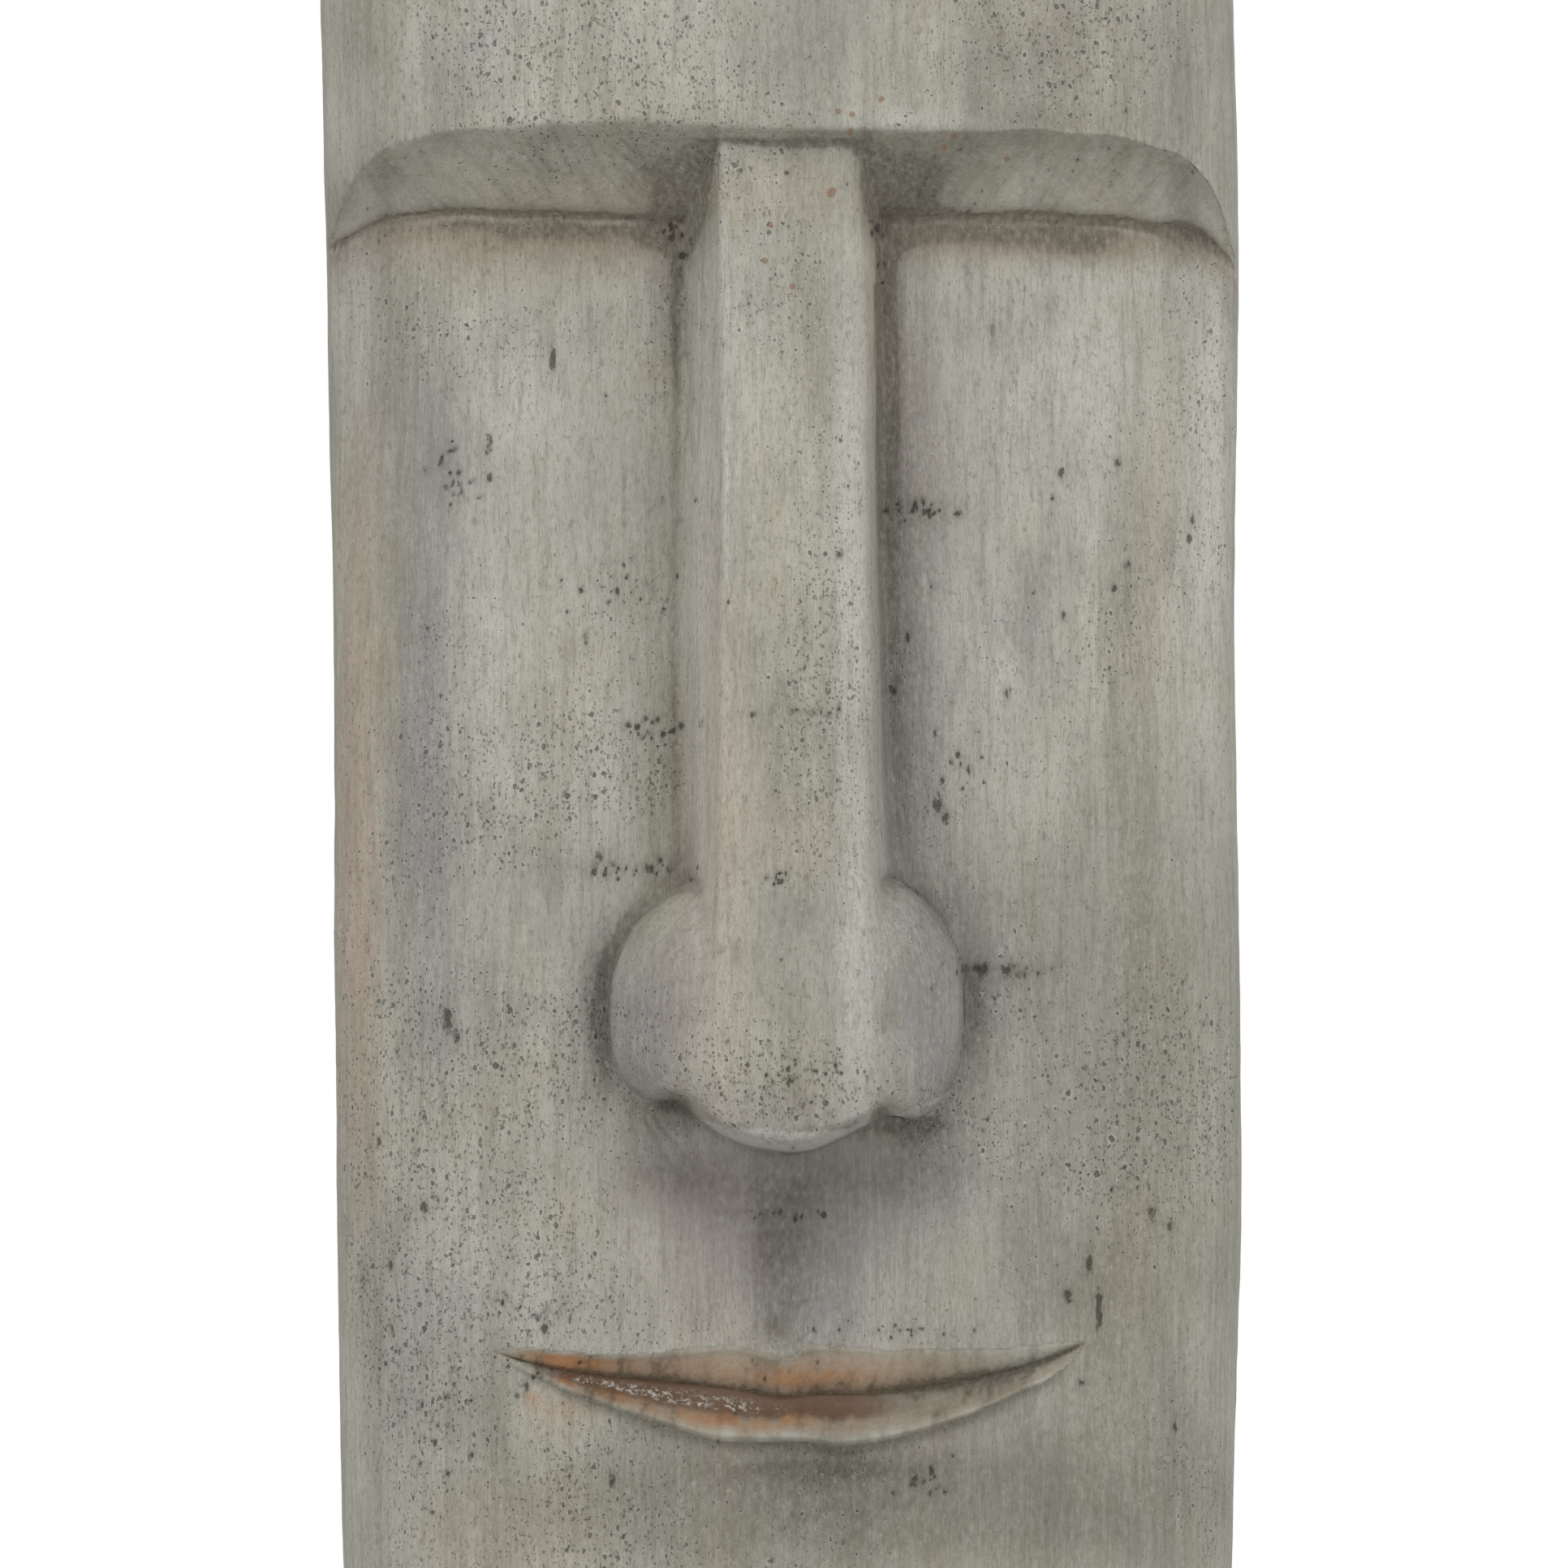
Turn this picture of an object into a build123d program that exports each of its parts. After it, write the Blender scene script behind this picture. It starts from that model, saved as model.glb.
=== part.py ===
"""Garden tiki head: a hollow cast-cement column with a carved face, laid up as two half shells.

Millimetres. The origin is on the floor, under the middle of the overall box. +Z is up and the
face looks towards -Y. The column's own centre line stands a little behind the origin, because
the nose reaches in front of the forehead.
"""

import os
from build123d import *

# ---------------------------------------------------------------- driving dimensions
HEIGHT = 812.0
OVERALL_DEPTH = 280.0
NOSE_PROUD = 22.0  # nose tip in front of the forehead
WALL = 8.0
STRIP_THICKNESS = 3.0
STRIP_WIDTH = 44.0
PAD_THICKNESS = 4.0
PAD_RADIUS = 15.0
BASE_THICKNESS = 12.0
HOLE_RADIUS = 25.0
BEAD_SIZE = 10.0
PAD_X = 96.0  # pads stand this far either side of the middle
PAD_Y = 70.0  # and this far in front of and behind the seam

BACK_Y = OVERALL_DEPTH / 2
NOSE_TIP_Y = -OVERALL_DEPTH / 2
FOREHEAD_Y = NOSE_TIP_Y + NOSE_PROUD
SEAM_Y = (FOREHEAD_Y + BACK_Y) / 2
RIM_Z = PAD_THICKNESS
BASE_TOP_Z = RIM_Z + BASE_THICKNESS
STRIP_LOW_Z = BASE_TOP_Z + BEAD_SIZE
STRIP_HIGH_Z = 700.0
TOP_EDGE_RADIUS = 26.0

# Width and front-to-back depth of the column at a few heights: (z, width, depth).
COLUMN_STATIONS = [
    (RIM_Z, 286.0, 238.0),
    (140.0, 298.0, 250.0),
    (300.0, 304.0, 257.0),
    (470.0, 303.5, 258.0),
    (620.0, 306.5, 258.0),
    (720.0, 303.0, 254.0),
    (HEIGHT, 293.0, 244.0),
]
WIDEST = max(width for _, width, _ in COLUMN_STATIONS)
FRONT_CORNER = 46.0
BACK_CORNER = 70.0
FACE_BULGE = 5.0  # how far each side of the section bows out
SIDE_BULGE = 3.0

# The face is set back below a slanting brow.
BROW_EDGE_Z = 617.0
BROW_CREASE_Z = 589.0
BROW_DEPTH = 25.0
FACE_FADE_Z = 60.0  # the set-back has died out here
CHEEK_TOP_Z = 649.0  # the cheek surface is carried on to here, behind the brow
CHEEK_SPARE = 8.0  # how much fatter than the column the cheek surface is at its sides
# How far the cheek surface stands behind the column's own front: (z, set-back).
CHEEK_STATIONS = [
    (FACE_FADE_Z, 0.0),
    (180.0, 5.0),
    (300.0, 11.0),
    (440.0, 17.0),
    (CHEEK_TOP_Z, BROW_DEPTH),
]

# Nose: (z, ridge width, root width, how far the ridge stands behind the nose tip).
NOSE_STATIONS = [
    (614.0, 42.0, 48.0, 27.0),
    (520.0, 42.0, 66.0, 20.0),
    (400.0, 44.0, 72.0, 9.0),
    (326.0, 56.0, 84.0, 1.0),
    (284.0, 50.0, 70.0, 0.0),
]
NOSE_ROOT_Y = FOREHEAD_Y + 34.0
NOSTRIL_CHAMFER = 6.0
WING_SPREAD = 37.0
WING_Z = 326.0
WING_Y = -108.0
WING_RADIUS = 22.0
WING_HEIGHT = 35.0

# Mouth outline, seen from the front.
MOUTH_HALF_WIDTH = 99.0
MOUTH_CORNER_Z = 212.0
UPPER_LIP_Z = 213.5
PARTING_Z = 198.0
LOWER_LIP_Z = 180.0
LIP_FRONT_Y = -115.0
LIP_ROOT_Y = -98.0
PARTING_RADIUS = 3.0

MANY = 400.0  # larger than the head, for cutting tools


# ---------------------------------------------------------------- shared volumes
def column_section(z, width, depth, inset):
    """One horizontal outline of the column: four bowed sides with rounded corners."""
    half = width / 2 - inset
    front = SEAM_Y - depth / 2 + inset
    back = SEAM_Y + depth / 2 - inset
    with BuildSketch(Plane.XY.offset(z)) as outline:
        with BuildLine():
            corner = [(-half, front), (half, front), (half, back), (-half, back)]
            ThreePointArc(corner[0], (0, front - FACE_BULGE), corner[1])
            ThreePointArc(corner[1], (half + SIDE_BULGE, SEAM_Y), corner[2])
            ThreePointArc(corner[2], (0, back + FACE_BULGE), corner[3])
            ThreePointArc(corner[3], (-half - SIDE_BULGE, SEAM_Y), corner[0])
        make_face()
        fillet(outline.vertices().group_by(Axis.Y)[0], radius=FRONT_CORNER - inset)
        fillet(outline.vertices().group_by(Axis.Y)[-1], radius=BACK_CORNER - inset)
    return outline.sketch


def column_volume(inset):
    """The plain column, drawn in on every side but its foot by the inset."""
    with BuildPart() as column:
        for z, width, depth in COLUMN_STATIONS:
            height = z - inset if z == HEIGHT else z
            bowed_width = width - 2 * SIDE_BULGE
            bowed_depth = depth - 2 * FACE_BULGE
            add(column_section(height, bowed_width, bowed_depth, inset))
        loft()
        top_edges = column.edges().group_by(Axis.Z)[-1]
        fillet(top_edges, radius=TOP_EDGE_RADIUS - inset)
    return column.part


def column_front(z):
    """Y of the column's front on its centre line at a height."""
    below = [s for s in COLUMN_STATIONS if s[0] <= z][-1]
    above = [s for s in COLUMN_STATIONS if s[0] >= z][0]
    share = 0.0 if above[0] == below[0] else (z - below[0]) / (above[0] - below[0])
    return SEAM_Y - (below[2] + share * (above[2] - below[2])) / 2


def cheek_volume(inset):
    """A fatter column whose front is the set-back cheek surface."""
    half = WIDEST / 2 + CHEEK_SPARE - inset
    corner_radius = FRONT_CORNER + CHEEK_SPARE - inset
    with BuildPart() as cheeks:
        for z, set_back in CHEEK_STATIONS:
            front = column_front(z) + set_back + inset + FACE_BULGE
            with BuildSketch(Plane.XY.offset(z)):
                with BuildLine():
                    rear = Polyline((half, front), (half, MANY), (-half, MANY), (-half, front))
                    ThreePointArc(rear @ 1, (0, front - FACE_BULGE), rear @ 0)
                face = make_face()
                fillet(face.vertices().group_by(Axis.Y)[0], radius=corner_radius)
        loft()
    return cheeks.part


def face_recess(inset):
    """What is cut away below the brow: the space in front of the cheeks."""
    slope = (BROW_EDGE_Z - BROW_CREASE_Z) / BROW_DEPTH
    crease_y = FOREHEAD_Y + BROW_DEPTH + inset
    crease_z = BROW_CREASE_Z + inset
    with BuildPart() as recess:
        with BuildSketch(Plane.YZ.offset(-MANY / 2)):
            with BuildLine():
                Polyline(
                    (-MANY, FACE_FADE_Z),
                    (-MANY, crease_z + slope * (crease_y + MANY)),
                    (crease_y + BROW_DEPTH, crease_z - slope * BROW_DEPTH),
                    (crease_y + BROW_DEPTH, FACE_FADE_Z),
                    close=True,
                )
            make_face()
        extrude(amount=MANY)
        add(cheek_volume(inset), mode=Mode.SUBTRACT)
    return recess.part


def casting_volume(inset):
    """The head without nose and lips, drawn in by the inset."""
    with BuildPart() as casting:
        add(column_volume(inset))
        add(face_recess(inset), mode=Mode.SUBTRACT)
    return casting.part


def slab(low, high):
    """Everything between two heights."""
    with BuildPart() as layer:
        with BuildSketch(Plane.XY.offset(low)):
            Rectangle(MANY, MANY)
        extrude(amount=high - low)
    return layer.part


# ---------------------------------------------------------------- face features
def nose_volume():
    """Long flat-fronted nose that widens downwards, with a wing on each side."""
    with BuildPart() as nose:
        for z, ridge, root, behind in NOSE_STATIONS:
            front = NOSE_TIP_Y + behind
            with BuildSketch(Plane.XY.offset(z)):
                with BuildLine():
                    Polyline(
                        (-root / 2, NOSE_ROOT_Y),
                        (-ridge / 2, front),
                        (ridge / 2, front),
                        (root / 2, NOSE_ROOT_Y),
                        close=True,
                    )
                make_face()
        loft(ruled=True)
        chamfer(nose.edges().group_by(Axis.Z)[0].sort_by(Axis.Y)[0], length=NOSTRIL_CHAMFER)
        for side in (-1, 1):
            with BuildSketch(Plane.XZ.offset(-WING_Y)):
                with Locations((side * WING_SPREAD, WING_Z)):
                    Ellipse(WING_RADIUS, WING_HEIGHT)
                with Locations((side * WING_SPREAD - MANY / 2, WING_Z)):
                    Rectangle(MANY, MANY, mode=Mode.SUBTRACT)
            wing_axis = Axis((side * WING_SPREAD, WING_Y, WING_Z), (0, 0, 1))
            revolve(axis=wing_axis)
    return nose.part


def lip_volume():
    """A proud crescent with turned-up corners."""
    with BuildPart() as lips:
        with BuildSketch(Plane.XZ.offset(-LIP_ROOT_Y)):
            with BuildLine():
                left = (-MOUTH_HALF_WIDTH, MOUTH_CORNER_Z)
                right = (MOUTH_HALF_WIDTH, MOUTH_CORNER_Z)
                ThreePointArc(left, (0, UPPER_LIP_Z), right)
                ThreePointArc(right, (0, LOWER_LIP_Z), left)
            make_face()
        extrude(amount=LIP_ROOT_Y - LIP_FRONT_Y)
    return lips.part


def parting_groove():
    """The line between the lips."""
    with BuildPart() as groove:
        with BuildLine(Plane.XZ.offset(-LIP_FRONT_Y)) as path:
            left = (-MOUTH_HALF_WIDTH, MOUTH_CORNER_Z)
            ThreePointArc(left, (0, PARTING_Z), (MOUTH_HALF_WIDTH, MOUTH_CORNER_Z))
        with BuildSketch(path.line ^ 0):
            Circle(PARTING_RADIUS)
        sweep()
    return groove.part


# ---------------------------------------------------------------- shells
cavity = casting_volume(WALL)
strip_core = casting_volume(WALL + STRIP_THICKNESS)

with BuildPart() as shell:
    add(casting_volume(0.0))
    add(nose_volume())
    add(lip_volume())
    add(parting_groove(), mode=Mode.SUBTRACT)
    add(cavity, mode=Mode.SUBTRACT)

seam_plane = Plane.XZ.offset(-SEAM_Y)

with BuildPart() as front_shell:
    add(shell.part)
    split(bisect_by=seam_plane, keep=Keep.TOP)

with BuildPart() as back_shell:
    add(shell.part)
    split(bisect_by=seam_plane, keep=Keep.BOTTOM)


# ---------------------------------------------------------------- seam strips
def seam_strip(low, high, x_low, x_high):
    """Glass-cloth strip bonded over the inside of the seam, between two heights and two x."""
    with BuildPart() as strip:
        with BuildSketch(Plane.XY.offset(low)):
            with Locations(((x_low + x_high) / 2, SEAM_Y)):
                Rectangle(x_high - x_low, STRIP_WIDTH)
        extrude(amount=high - low)
        add(cavity, mode=Mode.INTERSECT)
        add(strip_core, mode=Mode.SUBTRACT)
    return strip


half_span = MANY / 2
strips = {
    "seam_strip_left": seam_strip(STRIP_LOW_Z, STRIP_HIGH_Z, -half_span, 0),
    "seam_strip_right": seam_strip(STRIP_LOW_Z, STRIP_HIGH_Z, 0, half_span),
    "seam_strip_top": seam_strip(STRIP_HIGH_Z, HEIGHT, -half_span, half_span),
}

# ---------------------------------------------------------------- base
with BuildPart() as base_plate:
    add(cavity)
    add(slab(RIM_Z, BASE_TOP_Z), mode=Mode.INTERSECT)
    with Locations((0, SEAM_Y, BASE_TOP_Z)):
        Hole(radius=HOLE_RADIUS)

with BuildPart() as base_bead:
    add(cavity)
    add(slab(BASE_TOP_Z, STRIP_LOW_Z), mode=Mode.INTERSECT)
    add(casting_volume(WALL + BEAD_SIZE), mode=Mode.SUBTRACT)

pads = {}
for row, y in (("front", SEAM_Y - PAD_Y), ("rear", SEAM_Y + PAD_Y)):
    for side, x in (("left", -PAD_X), ("right", PAD_X)):
        with BuildPart() as foot_pad:
            with BuildSketch():
                with Locations((x, y)):
                    Circle(PAD_RADIUS)
            extrude(amount=PAD_THICKNESS)
        pads[f"foot_pad_{row}_{side}"] = foot_pad

# ---------------------------------------------------------------- files
nodes = {
    "front_shell": front_shell,
    "back_shell": back_shell,
    "base_plate": base_plate,
    "base_bead": base_bead,
    **strips,
    **pads,
}
os.makedirs("parts", exist_ok=True)
for name, built in nodes.items():
    built.part.label = name
    export_step(built.part, f"parts/{name}.step")
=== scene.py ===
"""Garden tiki head: the two cast half shells sculpted in detail, with the CAD pieces inside them.

The head is one wrapped grid of points, round the column and up it. It is shaped in millimetres,
as it stands in the row's frame, and cut at the seam into the front and the back shell.
"""
import math
from types import SimpleNamespace

import bpy
import numpy as np
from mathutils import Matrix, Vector


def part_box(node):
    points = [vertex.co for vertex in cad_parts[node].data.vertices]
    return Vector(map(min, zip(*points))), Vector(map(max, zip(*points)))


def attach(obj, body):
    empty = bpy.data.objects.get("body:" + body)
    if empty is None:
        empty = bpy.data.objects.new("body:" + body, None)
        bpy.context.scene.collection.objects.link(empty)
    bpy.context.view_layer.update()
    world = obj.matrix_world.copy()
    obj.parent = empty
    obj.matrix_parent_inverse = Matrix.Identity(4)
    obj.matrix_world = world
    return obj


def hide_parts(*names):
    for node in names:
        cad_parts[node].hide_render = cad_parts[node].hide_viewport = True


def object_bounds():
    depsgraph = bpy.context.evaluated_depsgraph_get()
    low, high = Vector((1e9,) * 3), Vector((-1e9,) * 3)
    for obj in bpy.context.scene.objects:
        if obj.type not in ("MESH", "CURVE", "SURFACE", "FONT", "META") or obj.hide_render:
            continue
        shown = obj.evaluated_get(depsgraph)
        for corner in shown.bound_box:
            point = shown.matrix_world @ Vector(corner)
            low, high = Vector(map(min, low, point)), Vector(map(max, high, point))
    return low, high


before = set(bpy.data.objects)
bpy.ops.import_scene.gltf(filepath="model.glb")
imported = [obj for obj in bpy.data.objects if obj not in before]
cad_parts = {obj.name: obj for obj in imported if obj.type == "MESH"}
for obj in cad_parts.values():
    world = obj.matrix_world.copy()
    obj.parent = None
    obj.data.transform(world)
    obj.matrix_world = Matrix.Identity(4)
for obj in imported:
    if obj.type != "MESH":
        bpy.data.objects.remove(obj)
cad_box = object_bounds()

MM = 0.001


# ------ sizes, in millimetres
def millimetres(corner):
    return [value / MM for value in corner]


FOOT_Z = millimetres(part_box("front_shell")[0])[2]
HEIGHT = millimetres(cad_box[1])[2]
SEAM_Y = millimetres(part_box("back_shell")[0])[1]
NOSE_TIP = -millimetres(cad_box[0])[1]  # how far forward the nose reaches
WALL = 8.0

# Width and depth of the column at a few heights, as in the CAD.
WIDTHS = [(4, 286), (140, 298), (300, 304), (470, 303.5), (620, 306.5), (720, 303), (812, 293)]
DEPTHS = [(4, 238), (140, 250), (300, 257), (470, 258), (620, 258), (720, 254), (812, 244)]
# How far the column's middle stands to the right at a few heights, seen from the front.
LEAN = [(4, 2), (140, 2), (280, 2.2), (420, 0.6), (600, 0.0), (662, -1.6), (812, -2)]
NOMINAL_WIDTH = 304.0
NOMINAL_DEPTH = 258.0
FRONT_CORNER = 46.0
BACK_CORNER = 70.0
SIDE_BULGE = 3.0
FACE_BULGE = 5.0
TOP_EDGE = 26.0
TOP_CROWN = 3.0
FOOT_EDGE = 2.5

# The face stands back from the column's front, below the brow.
SET_BACK = [(60, 0), (180, 5), (300, 11), (440, 17), (589, 25), (650, 25)]
# The fold under the brow and the edge of the forehead above it, seen from the front.
CREASE = [(-151, 580), (-136, 586), (-118, 589.8), (-86, 590.2), (-41, 588), (0, 588.4),
          (37, 589), (91, 588.3), (122, 586), (140, 581.8), (151, 572)]
BROW_EDGE = [(-151, 582), (-146.5, 595), (-136, 608), (-122, 614), (-92, 618.2), (-59, 620),
             (0, 617.8), (64, 616.8), (92, 616), (122, 612.4), (136, 606), (146, 591.5), (151, 575)]
# The ledge between them: share of its height, share of its depth.
LEDGE = [(0, 0), (0.1, 0.12), (0.25, 0.25), (0.8, 0.74), (0.9, 0.86), (1, 1)]
LEDGE_FADE = 50.0  # how far round the corner it fades away, up to the column's side
GROOVE = 2.0  # depth of the groove in the fold
GROOVE_BELOW, GROOVE_ABOVE = 4.5, 2.2  # how far it reaches to each side of the fold

# The nose, from its upper end to its tip: places by height.
RIDGE_LEFT = [(270, -25), (320, -24), (364, -22), (472, -20), (612, -19.5), (640, -19.5)]
RIDGE_RIGHT = [(270, 20), (364, 18), (472, 17.5), (600, 16.5), (640, 16)]
RIDGE_BACK = [(270, 1), (300, 1), (340, 3), (400, 9), (520, 19.5), (612, 27), (640, 29.5)]
# The flanks: how steeply they fall at each height, on the left and, past a round shoulder, right.
FLANK_LEFT = [(290, 0.5), (322, 0.7), (350, 1.7), (372, 2.4), (430, 2.1), (640, 1.8)]
FLANK_RIGHT = [(290, 0.5), (340, 0.8), (385, 2.2), (430, 3.0), (640, 3.0)]
SHOULDER = 0.045  # how fast the round shoulder falls, with the square of the distance
SHOULDER_WIDTH = 11.0
# The bulb of the nose with its wings: the outline all the way round, from the left.
BULB_MIDDLE = (-1.0, 325.0)
BULB_DROP = 28.0  # a first guess at how far its lower outline lies below its middle
BULB = [(-60.3, 320), (-59.4, 333.7), (-55.8, 344.8), (-51, 353.5), (-43.6, 360), (-30, 368),
        (0, 372), (32, 370), (43.4, 362.6), (50.7, 354), (56.2, 343), (57.9, 329), (57.2, 315),
        (54.3, 302), (49.5, 294), (42.3, 289.4), (34.5, 290.6), (25.5, 286.8), (17, 283), (9, 279.6),
        (1.4, 278.2), (-6.2, 278.8), (-15.5, 280.8), (-23, 284), (-29, 288), (-35, 292.6),
        (-41, 295), (-47, 295.6), (-53.5, 300), (-58.4, 308)]
NOSE_FOOT = 101.0  # forward reach of the surface that the bulb rises from
BULB_BLEND = 5.0
OUT_OF_SIGHT = 60.0  # how far back the bridge is put where it would stick out of the bulb
BEVEL_LINE = (285.6, 0.0045)  # the bevel along the tip starts at this height, and rises sideways
BEVEL_SLOPE = 0.42

# The mouth, seen from the front: upper edge, parting and lower edge.
MOUTH_LEFT, MOUTH_RIGHT = (-99.5, 212.0), (98.5, 214.6)
LIP_TOP = [MOUTH_LEFT, (-88, 212.6), (-66, 210.9), (-50, 210.6), (-32, 212), (-17, 213), (-5, 209.8),
           (8, 213), (30, 212), (52, 211.3), (72, 211.8), (86, 214), MOUTH_RIGHT]
PARTING = [MOUTH_LEFT, (-84, 207.1), (-67.5, 204.4), (-48.5, 202.6), (-28, 200.5), (-14, 198.6),
           (-3, 196.6), (8, 197.5), (31, 197.9), (48, 199.8), (68.6, 203.6), (84, 208), MOUTH_RIGHT]
LIP_FOOT = [MOUTH_LEFT, (-84, 203.2), (-70, 197.1), (-55, 191.6), (-38.5, 186.2), (-28, 182.9),
            (-11, 181.9), (3, 182), (14.4, 180.3), (38, 183.5), (52, 187.6), (64.5, 192.3),
            (77.5, 198.4), (90, 204.8), MOUTH_RIGHT]
MOUTH_DEPTH = 6.5
FULL_LIPS = 25.0  # the mouth is this high where it has its full depth
THIN_LIP = 0.5  # each lip is taken to be at least this high
LOWER_RIM = 3.8
# The lower lip: share of the way down it, height above the chin as a share of depth or rim.
LIP_ROUND = [(0, -1.0), (0.22, -0.86), (0.5, -0.25), (0.78, 0.5), (0.92, 0.58), (1.0, 0.2)]


# ------ small tools
def unit(field):
    """The field held between 0 and 1."""
    return np.clip(field, 0, 1)


def curve(points, at):
    """A smooth line through a few (place, value) points."""
    place, value = np.array(points, float).T
    slope = np.gradient(value, place)
    i = np.clip(np.searchsorted(place, at) - 1, 0, len(place) - 2)
    width = place[i + 1] - place[i]
    t = unit((at - place[i]) / width)
    rise = (1 + 2 * t) * (1 - t) ** 2 * value[i] + t * t * (3 - 2 * t) * value[i + 1]
    return rise + t * (1 - t) * width * ((1 - t) * slope[i] - t * slope[i + 1])


def higher(a, b, blend):
    """The larger of two heights, with the corner between them rounded over a blend."""
    share = unit(0.5 + 0.5 * (a - b) / blend)
    return b + (a - b) * share + blend * share * (1 - share)


def above_zero(a, blend):
    return higher(a, np.zeros_like(a), blend)


def step(low, high, at):
    """Rises smoothly from 0 at low to 1 at high."""
    t = unit((at - low) / (high - low))
    return t * t * (3 - 2 * t)


def fade(low, high, at):
    """Falls smoothly from 1 at low to 0 at high."""
    return 1 - step(low, high, at)


def line(off, width):
    """1 on a line and fading away from it, from the distance off it."""
    return np.exp(-((off / width) ** 2))


def bump(x, z, cx, cz, rx, rz):
    """A soft spot: 1 in its middle, about a third at its radius."""
    return np.exp(-((x - cx) / rx) ** 2 - ((z - cz) / rz) ** 2)


# ------ the grid
COARSE = 1.0


def spaced(stops):
    """Places from (place, step) stops: each stretch is divided evenly at its own step."""
    places = [np.array([stops[0][0]])]
    for (low, _), (high, size) in zip(stops, stops[1:]):
        count = max(2, round((high - low) / (size * COARSE)))
        places.append(np.linspace(low, high, count + 1)[1:])
    return np.concatenate(places)


HALF_WIDTH = NOMINAL_WIDTH / 2 - SIDE_BULGE
HALF_DEPTH = NOMINAL_DEPTH / 2 - FACE_BULGE
FRONT_FLAT = HALF_WIDTH - FRONT_CORNER
FRONT_ARC = FRONT_FLAT + FRONT_CORNER * math.pi / 2
SEAM_S = FRONT_ARC + HALF_DEPTH - FRONT_CORNER
BACK_SIDE = SEAM_S + HALF_DEPTH - BACK_CORNER
BACK_ARC = BACK_SIDE + BACK_CORNER * math.pi / 2
HALF_ROUND = BACK_ARC + HALF_WIDTH - BACK_CORNER

right = spaced([(0, 0), (66, 0.68), (FRONT_ARC, 0.9), (SEAM_S, 1.4), (HALF_ROUND, 2.4)])
around = np.concatenate([-right[:0:-1], right])  # the first and last are the same place, behind
WALL_TOP = HEIGHT - TOP_CROWN - TOP_EDGE
ARC_TOP = WALL_TOP + TOP_EDGE * math.pi / 2
CAP = 125.0  # length of the path from the top edge to the middle of the top
up = spaced([(FOOT_Z, 0), (FOOT_Z + FOOT_EDGE, 0.5), (130, 1.8), (175, 1.0), (220, 0.6),
             (275, 0.95), (372, 0.75), (572, 1.05), (626, 0.6), (672, 1.1), (WALL_TOP, 1.7),
             (ARC_TOP, 1.6), (ARC_TOP + 20, 2.2), (ARC_TOP + CAP, 5.0)])
seam_left = int(np.argmin(abs(around + SEAM_S)))
seam_right = int(np.argmin(abs(around - SEAM_S)))


def noise(seed, cell_s, cell_z, octaves=1):
    """Smooth seeded noise over the whole grid, from about -1 to 1, that joins up behind."""
    rng = np.random.default_rng(seed)
    total = np.zeros((len(up), len(around)))
    for octave in range(octaves):
        count_s = max(3, round(2 * HALF_ROUND / cell_s * 2**octave))
        count_z = int((up[-1] + 50) / cell_z * 2**octave) + 3
        lattice = rng.uniform(-1, 1, (count_z, count_s))
        place_s = (around / (2 * HALF_ROUND) + 0.5) * count_s
        place_z = up / cell_z * 2**octave
        across = shares(place_s, count_s)
        total += 0.5**octave * (shares(place_z, count_z) @ lattice @ across.T)
    return total


def shares(place, count):
    """How much of each lattice point each place takes."""
    low = np.floor(place).astype(int)
    t = place - low
    t = t * t * (3 - 2 * t)
    table = np.zeros((len(place), count))
    rows = np.arange(len(place))
    np.add.at(table, (rows, low % count), 1 - t)
    np.add.at(table, (rows, (low + 1) % count), t)
    return table


# ------ the plain column
def section(s):
    """Point and outward direction on the nominal outline, a distance s round from the front."""
    far = abs(s)
    side = np.sign(s)
    front = np.clip((far - FRONT_FLAT) / FRONT_CORNER, 0, math.pi / 2)
    back = np.clip((far - BACK_SIDE) / BACK_CORNER, 0, math.pi / 2)
    x = np.minimum(far, FRONT_FLAT) + FRONT_CORNER * np.sin(front)
    x = side * (x - BACK_CORNER * (1 - np.cos(back)) - np.maximum(far - BACK_ARC, 0))
    y = FRONT_CORNER * (1 - np.cos(front)) + BACK_CORNER * np.sin(back) - HALF_DEPTH
    y = y + (np.clip(far, FRONT_ARC, BACK_SIDE) - FRONT_ARC)
    nx, ny = side * np.sin(front + back), -np.cos(front + back)
    x_out = x + nx * SIDE_BULGE * (1 - (y / HALF_DEPTH) ** 2)
    y_out = y + ny * FACE_BULGE * (1 - (x / HALF_WIDTH) ** 2)
    return x_out, y_out, nx, ny


def bulb_reach(angle):
    """Distance from the bulb's middle to its outline, in the direction of an angle."""
    offset = np.array(BULB) - BULB_MIDDLE
    place = np.arctan2(offset[:, 1], offset[:, 0])
    order = np.argsort(place)
    place, reach = place[order], np.hypot(*offset.T)[order]
    turn = 2 * math.pi
    place = np.concatenate([place[-3:] - turn, place, place[:3] + turn])
    reach = np.concatenate([reach[-3:], reach, reach[:3]])
    return curve(np.stack([place, reach], 1), angle)


def warped_rows():
    """Height path of every grid point, with the rows drawn together along the nose's underside."""
    s, path = np.meshgrid(around, up)
    across = s - BULB_MIDDLE[0]
    level = BULB_MIDDLE[1] - BULB_DROP
    for _ in range(6):  # the outline's height under each place, by repeated reading
        level = BULB_MIDDLE[1] - np.sqrt(np.maximum(bulb_reach(
            np.arctan2(level - BULB_MIDDLE[1], across)) ** 2 - across**2, 16.0))
    pull = 0.84 * fade(40, 56, abs(s))
    offset = path - level
    return s, path - offset * pull * line(offset, 14.0)


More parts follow.
